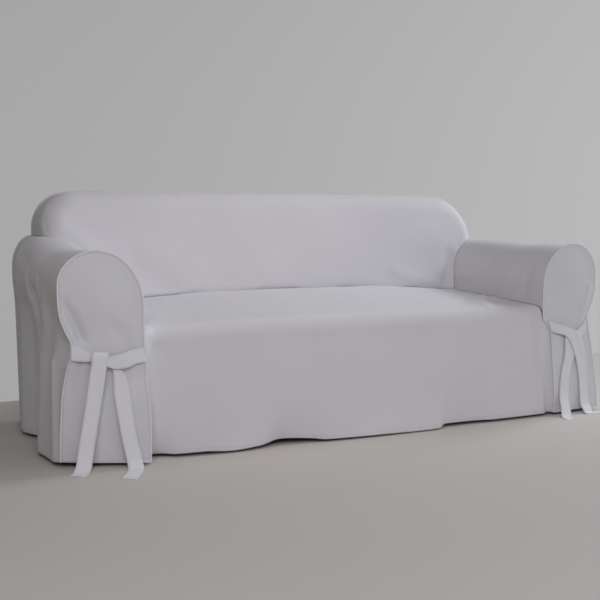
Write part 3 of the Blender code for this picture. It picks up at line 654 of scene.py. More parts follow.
@dataclass(frozen=True)
class ArmForm:
    """Sizes of one arm, whose section is an upright inner face, a roll and an outer skirt."""

    name: str
    side: int
    crown_out: float
    inner_spring: float
    outer_spring: float
    outer_reach: float
    rear_rise: float
    corner: float
    seam: Curve
    inner_edge: Curve
    hem: Curve
    outer_folds: tuple[tuple[float, float, float, float], ...]
    form: SofaForm = SofaForm()
    roll_foot: float = 0.470
    roll_foot_out: float = 0.116
    rear_taper: float = 0.045
    taper_starts: float = 0.58
    taper_below: float = 0.8
    spring_share: float = 0.6
    roll_blend: float = 0.03
    fold_growth: Pair = (0.65, 0.35)
    fold_top: float = 0.07
    hem_steps_in: float = 0.12
    front_blend: float = 0.100
    hem_height: float = 0.012
    face_parts: int = 22
    side_parts: int = 20
    round_parts: int = 18

    def round_turns(self) -> Grid:
        """Angles round the back's rounding, from its rim to the face."""
        return np.linspace(0.0, QUARTER, self.round_parts + 1)

    def outer_out(self, depth: Grid, height: Grid) -> Grid:
        """Out of the outer side below the roll: under the roll, a flare to the hem, and upright folds."""
        taper = self.rear_taper * ease(self.taper_starts, self.form.rear, depth)
        foot = self.roll_foot_out - self.taper_below * taper
        hem = self.hem.at(depth)
        hanging = foot + (hem - foot) * np.clip(1.0 - height / self.roll_foot, 0.0, 1.0)
        roll = self.outer_reach - taper
        out = hanging + (roll - hanging) * ease(self.roll_foot - self.roll_blend, self.outer_spring, height)
        for middle, half_width, reach, top in self.outer_folds:
            slow = self.fold_growth[0] * (1.0 - ease(0.15 * top, top, height))
            growth = slow + self.fold_growth[1] * (1.0 - ease(top - self.fold_top, top, height))
            out = out + reach * growth * bell((depth - middle) / half_width)
        front = self.seam.at(height)
        return front + (out - front) * ease(0.0, self.front_blend, depth - self.seam.at(height, 2))

    def seam_height(self, drop: Grid) -> Grid:
        """Height on the outer seam of the front panel, by the share fallen from the roll to its foot."""
        return self.outer_spring + (self.seam.rows[0][0] - self.outer_spring) * drop

    def section(self, station: Grid, depth: Grid) -> tuple[Grid, Grid]:
        """The arm's section at a depth.

        Args:
            station: 0 to 1 up the inner face, 1 to 3 round the roll by quarter ellipses, 3 to 4 down.
            depth: depth of each point.

        Returns:
            Out and height of each point.
        """
        station, depth = np.broadcast_arrays(station, depth)
        rise = self.rear_rise * ease(self.form.rise_starts, self.form.rise_ends, depth)
        top = self.form.arm_top + rise
        lift = self.spring_share * rise
        inner_spring, outer_spring = self.inner_spring + lift, self.outer_spring + lift
        reach = self.outer_reach - self.rear_taper * ease(self.taper_starts, self.form.rear, depth)
        low = self.form.seat_side_height(depth)
        inner_height = low + (inner_spring - low) * np.clip(station, 0.0, 1.0)
        inner_turn = QUARTER * np.clip(station - FACE_TOP, 0.0, 1.0)
        outer_turn = QUARTER * np.clip(station - CROWN, 0.0, 1.0)
        inner_out = self.crown_out - (self.crown_out + self.form.arm_inner) * np.cos(inner_turn)
        inner_arc = inner_spring + (top - inner_spring) * np.sin(inner_turn)
        arc_out = self.crown_out + (reach - self.crown_out) * np.sin(outer_turn)
        outer_arc = outer_spring + (top - outer_spring) * np.cos(outer_turn)
        seam_foot = self.seam.rows[0][0]
        hem = self.hem_height + (seam_foot - self.hem_height) * (1.0 - ease(0.0, self.hem_steps_in, depth))
        skirt_height = outer_spring + (hem - outer_spring) * np.clip(station - SKIRT_TOP, 0.0, 1.0)
        skirt_out = self.outer_out(depth, skirt_height)
        places = [station <= FACE_TOP, station <= CROWN, station <= SKIRT_TOP]
        out = np.select(places, [-self.form.arm_inner + 0.0 * depth, inner_out, arc_out], skirt_out)
        height = np.select(places, [inner_height, inner_arc, outer_arc], skirt_height)
        return out, height

    def inner_stations(self) -> Grid:
        """Stations from the seat to the crown, at which the arm and the back are sewn together."""
        inset = self.form.back_rounding * (1.0 - np.cos(self.round_turns()[::-1]))
        rounding = FACE_TOP + np.arccos(inset / (self.crown_out + self.form.arm_inner)) / QUARTER
        face = np.linspace(FACE_TOP, rounding[0], self.face_parts + 1)
        side = np.linspace(0.0, FACE_TOP, self.side_parts + 1)
        return np.concatenate([side, face[1:], rounding[1:]])

    def junction(self) -> tuple[Grid, Grid, Grid]:
        """Across, depth and height of the seam between the back and the arm, from the seat to the crown."""
        form = self.form
        station = self.inner_stations()
        out, height = self.section(station, np.full(station.shape, form.rise_ends + 0.1))
        side = self.side_parts + 1
        height[:side] = np.linspace(form.crease_height, height[side - 1], side)
        inset = np.clip(form.back_rounding - (self.crown_out - out), 0.0, form.back_rounding)
        across = self.side * (form.arm_middle + out)
        round_off = form.back_rounding - np.sqrt(form.back_rounding**2 - inset**2)
        return across, form.face_depth(across, height) + round_off, height


# --- Back ---


@dataclass
class BackCover:
    """Inside back, which runs over the top and round both ends, and the outside back behind it."""

    form: SofaForm
    left: ArmForm
    right: ArmForm
    rear_welt: float = 0.003
    row_rise: float = 0.0002
    top_columns: int = 150
    rim_rows: int = 22
    rim_drop: float = 0.004
    pull_reach: float = 0.30
    pull_fade: float = 2.5
    fall_power: float = 1.5
    rear_columns: int = 190
    rear_loose: float = 0.002
    rear_noise: SoftNoise = SoftNoise(21, 0.16, 0.24)
    rear_parts: tuple[int, int] = (46, 18)
    rear_growth: Pair = (0.05, 0.75)
    rear_crown_from: float = 0.70
    rear_side_fade: float = 4.0
    corner_parts: tuple[int, int] = (28, 22)
    end_parts: int = 9
    end_hold: float = 0.030
    slot_hold: Pair = (0.008, 0.050)
    grain: tuple[GrainRow, ...] = ((0.0014, 11, 0.21, 0.13), (0.0005, 12, 0.06, 0.08))
    rear_folds: tuple[tuple[float, float, float], ...] = (
        (-0.62, 0.09, 0.014),
        (-0.18, 0.12, 0.010),
        (0.31, 0.10, 0.016),
        (0.74, 0.08, 0.012),
    )
    face_folds: tuple[Fold, ...] = folds(
        (-0.982, 0.800, -0.985, 0.718, 0.020, 0.013),
        (-0.952, 0.770, -0.948, 0.714, 0.008, -0.007),
        (-0.910, 0.750, -0.800, 0.660, 0.035, 0.005),
        (-0.640, 0.600, -0.520, 0.485, 0.060, -0.008),
        (0.800, 0.600, 0.760, 0.470, 0.030, -0.008),
        (0.520, 0.545, 0.740, 0.462, 0.030, 0.004),
        (-0.20, 0.80, 0.25, 0.78, 0.10, 0.004),
        (-0.55, 0.74, -0.30, 0.58, 0.08, -0.003),
        (0.30, 0.72, 0.60, 0.60, 0.09, -0.003),
    )

    def outline(self) -> tuple[Grid, Grid]:
        """The back's outline seen from the front, from left to right, and its inward directions."""
        points, inward = [], []
        for arm in (self.left, self.right):
            half = self.form.arm_middle + arm.crown_out
            spring, foot = self.form.back_top - arm.corner, self.form.arm_top + arm.rear_rise
            turn = np.linspace(0.0, QUARTER, self.corner_parts[0])
            rise = np.linspace(foot, spring, self.end_parts)[:-1]
            across = np.concatenate([np.full(rise.shape, half), half - arm.corner * (1 - np.cos(turn))])
            height = np.concatenate([rise, spring + arm.corner * np.sin(turn)])
            turned = np.concatenate([np.zeros(rise.shape), turn])
            points.append(np.stack([arm.side * across, height], axis=1))
            inward.append(np.stack([-arm.side * np.cos(turned), -np.sin(turned)], axis=1))
        top = np.linspace(points[0][-1], points[1][-1], self.top_columns)[1:-1]
        down = np.tile([0.0, -1.0], (len(top), 1))
        edge = np.vstack([points[0], top, points[1][::-1]])
        return edge, np.vstack([inward[0], down, inward[1][::-1]])

    def inside(self) -> ClothSheet:
        """The inside back.

        Rows run from the rear rim forwards over the top, round a quarter circle to the face, and down the
        face to the seat. Both ends follow the seams to the arms, and their pull fades towards the middle.

        Returns:
            The sheet, with its folds laid on it.
        """
        form, (edge, inward) = self.form, self.outline()
        steps = np.hypot(*np.diff(edge, axis=0).T)
        share = np.concatenate([[0.0], np.cumsum(steps)]) / steps.sum()
        seat_line = (form.arm_middle - form.arm_inner) * (2.0 * share - 1.0)
        crease = np.stack([seat_line, form.crease_height + form.seat_rise(seat_line)], axis=1)
        seams = [np.stack(arm.junction(), axis=1)[::-1] for arm in (self.left, self.right)]
        pull = self.pull_reach / steps.sum()
        rows, across_rows, height_rows = [], [], []
        front = form.face_depth(*edge.T) + form.back_rounding
        for part in np.linspace(0.0, 1.0, self.rim_rows)[:-1]:
            height = edge[:, 1] + form.crown(edge[:, 0]) - self.rim_drop * (1.0 - part) * -inward[:, 1]
            rows.append(form.in_place(edge[:, 0], form.rear + (front - form.rear) * part, height))
            across_rows.append(edge[:, 0])
            height_rows.append(height)
        turns = self.left.round_turns()
        face_rows = self.left.side_parts + self.left.face_parts
        rounding = form.back_rounding
        insets = np.concatenate([rounding * (1 - np.cos(turns)), np.full(face_rows, rounding)])
        fall = 1.0 - (1.0 - np.arange(1, face_rows + 1) / face_rows) ** self.fall_power
        downs = np.concatenate([np.zeros(len(turns)), fall])
        for row, (inset, down) in enumerate(zip(insets, downs)):
            base = edge + inset * inward
            base = base + (crease - base) * down
            for seam, from_end, end in ((seams[0], share, 0), (seams[1], 1.0 - share, -1)):
                near = np.clip(1.0 - from_end / pull, 0.0, 1.0) ** 2
                held = near + (1.0 - from_end - near) * min(1.0, self.pull_fade * down)
                base = base + np.outer(held, seam[row][[0, 2]] - base[end])
            turn = turns[min(row, len(turns) - 1)]
            depth = form.face_depth(*base.T) + form.back_rounding * (1.0 - np.sin(turn))
            depth[0], depth[-1] = seams[0][row][1], seams[1][row][1]
            above = base[:, 1] - form.crease_height - form.seat_rise(base[:, 0])
            depth = depth + form.slot_depth(base[:, 0], above)
            height = base[:, 1] + form.crown(base[:, 0]) * (1.0 - down)
            rows.append(form.in_place(base[:, 0], depth, height))
            across_rows.append(base[:, 0])
            height_rows.append(height)
        sheet = ClothSheet("inside_back", np.array(rows), (2.12, 0.66), turned=True)
        self._lay_folds(sheet, np.array(across_rows), np.array(height_rows), len(turns))
        return sheet

    def _lay_folds(self, sheet: ClothSheet, across: Grid, height: Grid, turns: int) -> None:
        """Lays the face's folds and slow unevenness, and holds every seam still."""
        run, down = sheet.runs()
        row = np.arange(across.shape[0])[:, None]
        on_face = ease(self.rim_rows - 1.0, self.rim_rows + turns, row + 0.0 * run)
        lift = folded(self.face_folds, across, height) * on_face
        lift = roughened(lift, run, down, *self.grain)
        to_end = np.minimum(run, run[:, -1:] - run)
        held = ease(0.0, self.end_hold, to_end) * ease(0.0, self.end_hold, down)
        sheet.lift(lift * (held * ease(*self.slot_hold, down[-1:] - down)))

    def outside(self) -> ClothSheet:
        """The outside back: rows from the hem to the top edge, with soft upright folds that grow downwards.

        Its edges lie rear_welt outside the arms and the back. There each row is held row_rise above the
        last, so that the rows don't cross where the edge turns in over the arms.

        Returns:
            The sheet, with its folds laid on it.
        """
        form, edges = self.form, []
        for arm in (self.left, self.right):
            skirt = SKIRT_TOP + np.linspace(1.0, 0.0, self.rear_parts[0])
            station = np.concatenate([skirt, np.linspace(SKIRT_TOP, CROWN, self.rear_parts[1])[1:]])
            out, height = arm.section(station, np.full(station.shape, form.rear))
            turn = np.linspace(0.0, QUARTER, self.corner_parts[1])
            spring = form.back_top - arm.corner
            out = np.concatenate([out, arm.crown_out - arm.corner * (1.0 - np.cos(turn))])
            height = np.concatenate([height, spring + arm.corner * np.sin(turn)])
            tangent = unit_tangents(out, height)
            out = out + self.rear_welt * tangent[1]
            height[1:] = (height - self.rear_welt * tangent[0])[1:]
            rise = self.row_rise * np.arange(len(height))
            height = np.maximum.accumulate(height - rise) + rise
            edges.append(np.stack([arm.side * (form.arm_middle + out), height], axis=1))
        share = np.linspace(0.0, 1.0, self.rear_columns)[None, :, None]
        plane = edges[0][:, None, :] * (1.0 - share) + edges[1][:, None, :] * share
        across, height = plane[..., 0], plane[..., 1]
        height = height + form.crown(across) * ease(self.rear_crown_from, form.back_top, height)
        depth = np.full(across.shape, form.rear + form.seam_gap + form.cloth)
        side = np.minimum(1.0, self.rear_side_fade * np.minimum(share, 1.0 - share)[..., 0])
        for middle, half_width, reach in self.rear_folds:
            growth = 1.0 - ease(*self.rear_growth, height)
            depth = depth + side * reach * growth * bell((across - middle) / half_width)
        depth = depth + side * self.rear_loose * (1.0 + self.rear_noise.at(across, height))
        sheet = ClothSheet("outside_back", form.in_place(across, depth, height), (2.10, 0.87), turned=True)
        run, down = sheet.runs()
        sheet.edge_run, sheet.edge_distance, sheet.held = run, down, Hold.HUNG
        return sheet


# --- Seat and front skirt ---


@dataclass
class SeatCover:
    """Seat and front skirt in one length: forward from the back, over the front edge and down to the hem."""

    form: SofaForm
    left: ArmForm
    right: ArmForm
    skirt: Curve
    end_gap: float = 0.0022
    skirt_behind: float = 0.0042
    curl: float = 0.010
    mean_depth: float = -0.008
    near_share: float = 0.08
    near_rows: int = 13
    swing_power: float = 1.25
    wave_power: float = 4.5
    end_parts: tuple[float, int, int] = (0.030, 15, 262)
    crown_fade: Pair = (0.1, 1.0)
    end_hold: float = 0.022
    slot_hold: Pair = (0.008, 0.045)
    grain: tuple[GrainRow, ...] = ((0.0014, 31, 0.17, 0.12), (0.0005, 32, 0.05, 0.09))
    skirt_grain: GrainRow = (0.0012, 33, 0.15, 0.40)
    deck_rows: int = 62
    nose_rows: int = 16
    fall_rows: int = 66
    deck_folds: tuple[Fold, ...] = folds(
        (0.745, 0.500, 0.700, 0.240, 0.030, 0.007, 1.0, 0.01),
        (0.640, 0.150, 0.590, 0.065, 0.020, 0.006),
        (0.640, 0.260, 0.520, 0.130, 0.030, -0.004),
        (0.805, 0.430, 0.745, 0.400, 0.014, 0.005),
        (0.805, 0.355, 0.740, 0.330, 0.012, 0.006),
        (0.805, 0.285, 0.720, 0.250, 0.014, 0.008, 1.4),
        (0.805, 0.320, 0.760, 0.300, 0.010, -0.005),
        (0.805, 0.205, 0.740, 0.180, 0.016, 0.005),
        (0.805, 0.130, 0.740, 0.110, 0.018, 0.004),
        (-0.800, 0.440, -0.700, 0.400, 0.020, 0.005),
        (-0.800, 0.330, -0.710, 0.300, 0.018, 0.005),
        (-0.800, 0.200, -0.700, 0.180, 0.022, 0.005),
        (-0.470, 0.545, -0.300, 0.538, 0.009, 0.004),
        (0.300, 0.545, 0.470, 0.540, 0.009, 0.004),
    )
    skirt_folds: tuple[Fold, ...] = folds(
        (-0.800, 0.392, -0.745, 0.340, 0.014, -0.003, 1.8),
        (-0.640, 0.330, -0.600, 0.060, 0.050, -0.001, 1.4),
        (0.020, 0.300, 0.000, 0.050, 0.060, 0.001),
    )

    def columns(self) -> Grid:
        """Places across under the seat's edge, closer together towards both ends."""
        reach = -self.skirt.rows[0][0]
        width, close, wide = self.end_parts
        end = np.linspace(0.0, width, close)
        middle = np.linspace(-reach + width, reach - width, wide)
        return np.concatenate([-reach + end[:-1], middle, (reach - end[:-1])[::-1]])

    def sheet(self) -> ClothSheet:
        """The seat and skirt.

        The deck falls slowly forwards under its crown, and the front edge is a quarter ellipse. From there
        the skirt swings to the hem's mean line as a low power of the share fallen, and the hem's waves grow
        as a higher power, so that they show mostly near the floor.

        Returns:
            The sheet, with its folds laid on it.
        """
        form = self.form
        reach = form.arm_middle - form.arm_inner - self.end_gap
        key = self.columns()
        top = np.clip(key, -reach, reach)
        end = 1.0 - ease(0.0, form.seat_end, reach - np.abs(top))
        back = form.nose_back + (form.end_nose_back - form.nose_back) * end
        front = form.nose_depth + (self.skirt_behind - form.nose_depth) * end
        foot = form.nose_foot + (form.end_nose_foot - form.nose_foot) * end
        rise = form.seat_rise(top)
        crease_depth = form.face_depth(top, form.crease_height + rise) - form.seam_gap
        crease_depth = crease_depth + form.slot_reach * form.slot_depth(top, 0.0 * top)
        near = np.linspace(0.0, self.near_share, self.near_rows)
        shares = np.concatenate([near, np.linspace(near[-1], 1.0, self.deck_rows - len(near) + 1)[1:]])
        rows = []
        for part in shares:
            low = form.seat_side_height(form.crease_depth + (form.end_nose_back - form.crease_depth) * part)
            plump = rise * (1.0 - (1.0 - form.front_crown_share) * ease(*self.crown_fade, part))
            rows.append(form.in_place(top, crease_depth * (1.0 - part) + back * part, low + plump))
        nose_top = rows[-1][:, 2]
        for turn in np.linspace(0.0, QUARTER, self.nose_rows + 1)[1:]:
            height = foot + (nose_top - foot) * np.cos(turn)
            rows.append(form.in_place(top, back + (front - back) * np.sin(turn), height))
        edge = rows[-1]
        hem = [self.skirt.at(key, column) for column in (1, 2, 3)]
        mean = self.mean_depth + (hem[1] - self.mean_depth) * end
        for part in np.linspace(0.0, 1.0, self.fall_rows + 1)[1:]:
            swing, wave = part**self.swing_power, part**self.wave_power
            height = edge[:, 2] + (hem[2] - edge[:, 2]) * part
            across = edge[:, 0] + form.across_middle
            across = across + (hem[0] - across) * swing
            depth = edge[:, 1] + form.depth_middle
            depth = depth + (mean - depth) * swing + (hem[1] - mean) * wave
            for arm, last in ((self.left, 0), (self.right, -1)):
                near_seam = np.clip(1.0 - np.abs(top - arm.side * reach) / self.curl, 0.0, 1.0)
                out = arm.inner_edge.at(height[last])
                seam_depth = arm.inner_edge.at(height[last], 2)
                across = across + near_seam * (arm.side * (form.arm_middle + out) - across[last])
                depth = depth + near_seam * (seam_depth + self.skirt_behind - depth[last])
            rows.append(form.in_place(across, depth, height))
        made = ClothSheet("seat_and_skirt", np.array(rows), (1.76, 1.00), turned=True)
        self._lay_folds(made)
        run, down = made.runs()
        made.edge_run, made.edge_distance = run, down[-1:] - down
        return made

    def _lay_folds(self, sheet: ClothSheet) -> None:
        """Lays the puckers of the deck and the soft folds of the skirt, and holds every seam still."""
        across = sheet.points[..., 0] + self.form.across_middle
        depth = sheet.points[..., 1] + self.form.depth_middle
        height = sheet.points[..., 2]
        run, down = sheet.runs()
        row = np.arange(across.shape[0])[:, None] + 0.0 * across
        on_skirt = ease(self.deck_rows, self.deck_rows + self.nose_rows, row)
        lift = folded(self.deck_folds, across, depth) * (1.0 - on_skirt)
        lift += folded(self.skirt_folds, across, height) * on_skirt
        lift = roughened(lift, run, down, *self.grain)
        lift += roughened(0.0, run, down, self.skirt_grain) * on_skirt
        to_end = np.minimum(run, run[:, -1:] - run)
        sheet.lift(lift * ease(0.0, self.end_hold, to_end) * ease(*self.slot_hold, down))


# --- Arms ---


@dataclass
class ArmCover:
    """One arm: the piece that runs from the seat over the roll to the floor, and its front panel.

    lip holds how far the panel's seam stands out and its half width. groove holds the depth, the distance
    from the seam and the half width of the furrow beside it.
    """

    arm: ArmForm
    inner_folds: tuple[Fold, ...]
    outer_folds: tuple[Fold, ...]
    panel_folds: tuple[Fold, ...]
    seed: int
    welt: float = 0.004
    skirt_parts: int = 84
    front_columns: int = 150
    roll_rows: int = 31
    rear_columns: int = 30
    skirt_clear: float = 1.15
    outer_blend: Pair = (1.9, 2.2)
    skirt_blend: Pair = (3.0, 3.4)
    seam_hold: float = 0.025
    seat_hold: float = 0.02
    panel_flat: float = 0.88
    panel_rings: tuple[int, int] = (40, 13)
    panel_fill: float = 0.010
    fill_rises: Pair = (0.40, 0.50)
    rim_clear: float = 0.004
    relief_ends: float = 0.945
    lip: Pair = (0.0020, 0.0040)
    groove: tuple[float, float, float] = (0.0006, 0.011, 0.005)

    def piece(self) -> ClothSheet:
        """The arm piece, by station and depth, open where the back is sewn to it.

        Returns:
            The sheet, with its folds laid on it.
        """
        arm, form = self.arm, self.arm.form
        inner = arm.inner_stations()
        skirt = SKIRT_TOP + np.linspace(0.0, 1.0, self.skirt_parts + 1)[1:]
        outer = np.concatenate([np.linspace(CROWN, SKIRT_TOP, self.roll_rows)[1:], skirt])
        station = np.concatenate([inner, outer])[:, None]
        _, seam_depth, _ = arm.junction()
        turns = arm.round_turns()
        face = np.full(len(inner) - len(turns), QUARTER)
        turns = np.concatenate([face, turns[::-1]])
        outer_join = np.full(outer.shape, seam_depth[-1])
        join = np.concatenate([seam_depth - form.seam_gap * np.sin(turns), outer_join])[:, None]
        drop = np.clip(station - SKIRT_TOP, 0.0, 1.0)
        front_height = arm.seam_height(drop)
        swing = np.where(station > SKIRT_TOP, arm.seam.at(front_height, 2), 0.0)
        start = swing + (form.cloth + form.seam_gap) * np.where(station > SKIRT_TOP, self.skirt_clear, 1.0)
        near = np.linspace(0.0, 1.0, self.front_columns)
        behind = np.linspace(0.0, 1.0, self.rear_columns)[1:]
        depth = np.hstack([start + (join - start) * near, join + (form.rear - join) * behind])
        out, height = arm.section(station, depth)
        out[len(inner) - 1, len(near) :] += form.seam_gap
        out[: len(inner), len(near) - 1] += form.seam_gap * np.cos(turns)
        points = form.in_place(arm.side * (form.arm_middle + out), depth, height)
        kept = np.ones((points.shape[0] - 1, points.shape[1] - 1), bool)
        kept[: len(inner) - 1, len(near) - 1 :] = False
        sheet = ClothSheet("arm_" + arm.name, points, (1.02, 0.84), turned=arm.side > 0, kept=kept)
        run, down = sheet.runs()
        on_outer = ease(*self.outer_blend, station + 0.0 * depth)
        lift = folded(self.inner_folds, depth, height) * (1.0 - on_outer)
        lift += folded(self.outer_folds, depth, height) * on_outer
        grain = ((0.0018, self.seed, 0.12, 0.14), (0.0008, self.seed + 1, 0.05, 0.07))
        lift = roughened(lift, run, down, *grain)
        on_skirt = ease(*self.skirt_blend, station)
        lift += roughened(0.0, run, down, (0.0018, self.seed + 2, 0.10, 0.50)) * on_skirt
        to_join = np.where(station <= CROWN, join - depth, form.rear - depth)
        held = ease(0.0, self.seam_hold, np.abs(depth - start)) * ease(0.0, self.seam_hold, np.abs(to_join))
        sheet.lift(lift * (held * ease(0.0, self.seat_hold, down)))
        sheet.edge_run, sheet.edge_distance = run, down[-1:] - down
        return sheet

    def outline(self) -> tuple[Grid, Grid]:
        """Out and height round the panel, from the inner hem corner over the roll to the outer."""
        arm = self.arm
        rows = arm.inner_edge.rows
        inner_height = np.linspace(rows[0][0], rows[-1][0], self.skirt_parts + 1 - arm.side_parts)
        roll = np.linspace(CROWN, SKIRT_TOP, self.roll_rows)[1:]
        station = np.concatenate([arm.inner_stations()[1:], roll])
        roll_out, roll_height = arm.section(station, np.zeros(station.shape))
        seam_height = arm.seam_height(np.linspace(0.0, 1.0, self.skirt_parts + 1)[1:])
        out = np.concatenate([arm.inner_edge.at(inner_height), roll_out, arm.seam.at(seam_height)])
        height = np.concatenate([inner_height, roll_height, seam_height])
        return out, height

    def panel(self) -> ClothSheet:
        """The front panel: rings from a middle line out to the proud seam, which stands like a thin lip.

        Returns:
            The sheet, with its folds laid on it.
        """
        arm, form = self.arm, self.arm.form
        out, height = self.outline()
        tangent = unit_tangents(out, height)
        edge_out = out - self.welt * tangent[1]
        edge_height = height + self.welt * tangent[0]
        edge_height[[0, -1]] = height[[0, -1]]
        low = slice(0, self.skirt_parts + 1)
        spine = np.full(height.shape, 0.5 * (arm.inner_spring + arm.outer_spring))
        spine[low] = 0.5 * (height[low] + height[::-1][low])
        spine[::-1][low] = spine[low]
        flat, rings = self.panel_flat, self.panel_rings
        shares = np.concatenate([np.linspace(0.0, flat, rings[0])[:-1], np.linspace(flat, 1.0, rings[1])])
        shares = shares[None, :]
        place_out = edge_out[:, None] * shares + arm.crown_out * (1.0 - shares)
        place_height = edge_height[:, None] * shares + spine[:, None] * (1.0 - shares)
        inner_key = np.minimum(place_height, arm.inner_edge.rows[-1][0])
        outer_key = np.minimum(place_height, arm.outer_spring)
        inner_out, inner_depth = arm.inner_edge.at(inner_key), arm.inner_edge.at(inner_key, 2)
        outer_out, outer_depth = arm.seam.at(outer_key), arm.seam.at(outer_key, 2)
        across = (place_out - inner_out) / (outer_out - inner_out)
        swing = inner_depth + (outer_depth - inner_depth) * across
        relief = folded(self.panel_folds, place_out, place_height)
        relief -= self.panel_fill * ease(*self.fill_rises, place_height) * (1.0 - shares**2) ** 2
        relief = roughened(relief, place_out, place_height, (0.0010, self.seed + 5, 0.07, 0.09))
        swing = swing + relief * np.maximum(0.0, 1.0 - (shares / self.relief_ends) ** 4)
        rim = np.hypot((edge_out - arm.crown_out), (edge_height - spine))[:, None] * (1.0 - shares)
        swing = swing - self.lip[0] * bell(rim / self.lip[1])
        swing = swing + self.groove[0] * bell((rim - self.groove[1]) / self.groove[2])
        points = form.in_place(arm.side * (form.arm_middle + place_out), swing, place_height)
        sheet = ClothSheet("arm_front_" + arm.name, points, (0.27, 0.66), turned=arm.side > 0)
        sheet.finish, sheet.held = "panel_cotton", Hold.STRETCHED
        _, down = sheet.runs()
        hem = place_height - np.minimum(edge_height[0], edge_height[-1])
        sheet.edge_run = np.where(hem < rim, place_out, down)
        sheet.edge_distance = np.minimum(np.where(rim < 1e-9, 1.0, hem), rim + self.rim_clear)
        return sheet


# --- Ties ---


@dataclass
class TieStrap:
    """One flat strap of doubled cotton with a free end, by sections across it.

    A section holds across, depth and height of one edge, then of the other. knot_share is where along the
    strap the knot lies, and floor_clear the heights between which the bowing sets in above the floor.
    """

    name: str
    sections: tuple[tuple[float, float, float, float, float, float], ...]
    flat: Pair
    seed: int
    form: SofaForm = SofaForm()
    cup: float = 0.0005
    parts: int = 12
    columns: int = 13
    knot_share: float = 0.33
    knot_half: float = 0.05
    pleat: float = 0.0011
    pleat_waves: float = 3.0
    floor_clear: Pair = (0.0015, 0.012)
    edge_inset: float = 0.0075

    def sheet(self) -> ClothSheet:
        """The strap, bowed a little across, with faint lengthwise pleats where it nears the knot."""
        sections = curve_through(np.array(self.sections, float), self.parts)
        floor = 0.5 * self.form.cloth
        one, other = sections[:, None, :3], sections[:, None, 3:]
        share = np.linspace(0.0, 1.0, self.columns)[None, :, None]
        strap = one + (other - one) * share
        strap[..., 2] = np.maximum(strap[..., 2], floor)
        points = self.form.in_place(strap[..., 0], strap[..., 1], strap[..., 2])
        sheet = ClothSheet(self.name, points, self.flat)
        sheet.both_sides, sheet.held = True, Hold.HUNG
        sheet.slot = sheet.finish = "tie_cotton"
        run, down = sheet.runs()
        width = run[:, -1:]
        across = run / np.maximum(width, 1e-6)
        knot = bell((down - down[-1:] * self.knot_share) / self.knot_half)
        lift = self.cup * (1.0 - (2.0 * across - 1.0) ** 2) * (1.0 - 0.5 * knot)
        lift += self.pleat * knot * np.sin(across * self.pleat_waves * math.pi)
        lift = roughened(lift, run, down, (0.0006, self.seed, 0.10, 0.06))
        direction = np.where(sheet.outwards()[..., 1:2] > 0.0, -1.0, 1.0)
        clear = ease(*self.floor_clear, sheet.points[..., 2:3])
        sheet.points = sheet.points + sheet.outwards() * direction * lift[..., None] * clear
        sheet.edge_run, sheet.edge_distance = down, np.minimum(run, width - run) + self.edge_inset
        return sheet


# --- Sizes of this cover ---

LEFT_ARM = ArmForm(
    name="left",
    side=-1,
    crown_out=0.015,
    inner_spring=0.490,
    outer_spring=0.567,
    outer_reach=0.133,
    rear_rise=0.035,
    corner=0.135,
    # height, out, depth
    seam=curve(
        (0.018, 0.1220, 0.045),
        (0.099, 0.1210, 0.040),
        (0.166, 0.1190, 0.035),
        (0.221, 0.1175, 0.028),
        (0.269, 0.1120, 0.020),
        (0.317, 0.1040, 0.008),
        (0.356, 0.0945, 0.000),
        (0.386, 0.0945, 0.000),
        (0.433, 0.1135, 0.000),
        (0.479, 0.1285, 0.000),
        (0.525, 0.1328, 0.000),
        (0.567, 0.1330, 0.000),
    ),
    inner_edge=curve(
        (0.007, -0.1345, -0.045),
        (0.100, -0.1380, -0.039),
        (0.200, -0.1395, -0.026),
        (0.245, -0.1393, -0.010),
        (0.285, -0.1390, 0.000),
        (0.345, -0.1360, 0.000),
        (0.383, -0.1330, 0.000),
    ),
    # depth, out
    hem=curve(
        (0.045, 0.1220),
        (0.080, 0.1340),
        (0.120, 0.1375),
        (0.225, 0.1335),
        (0.315, 0.1260),
        (0.400, 0.1210),
        (0.508, 0.1170),
        (0.631, 0.1120),
        (0.720, 0.0960),
        (0.830, 0.0700),
    ),
    # depth, half width, outward reach at the hem, height where it starts
    outer_folds=(
        (0.205, 0.040, -0.010, 0.400),
        (0.330, 0.045, 0.006, 0.480),
        (0.462, 0.066, -0.046, 0.520),
        (0.585, 0.030, 0.005, 0.500),
    ),
)
RIGHT_ARM = ArmForm(
    name="right",
    side=1,
    crown_out=0.012,
    inner_spring=0.500,
    outer_spring=0.550,
    outer_reach=0.130,
    rear_rise=0.010,
    corner=0.170,
    seam=curve(
        (0.015, 0.1500, -0.006),
        (0.090, 0.1450, -0.004),
        (0.150, 0.1370, -0.001),
        (0.226, 0.1230, 0.000),
        (0.300, 0.1070, 0.000),
        (0.345, 0.0960, 0.000),
        (0.381, 0.0925, 0.000),
        (0.445, 0.1170, 0.000),
        (0.500, 0.1290, 0.000),
        (0.550, 0.1300, 0.000),
    ),
    inner_edge=curve(
        (0.010, -0.0860, -0.020),
        (0.100, -0.0855, -0.018),
        (0.180, -0.0855, -0.010),
        (0.260, -0.0870, -0.003),
        (0.300, -0.0880, 0.000),
        (0.325, -0.0910, 0.000),
        (0.350, -0.1020, 0.000),
        (0.383, -0.1330, 0.000),
    ),
    hem=curve(
        (-0.006, 0.1500),
        (0.060, 0.1480),
        (0.150, 0.1400),
        (0.270, 0.1300),
        (0.380, 0.1310),
        (0.500, 0.1240),
        (0.600, 0.1180),
        (0.700, 0.1000),
        (0.830, 0.0700),
    ),
    outer_folds=(
        (0.235, 0.050, -0.024, 0.500),
        (0.345, 0.040, 0.006, 0.450),
        (0.505, 0.060, -0.036, 0.480),
    ),
)

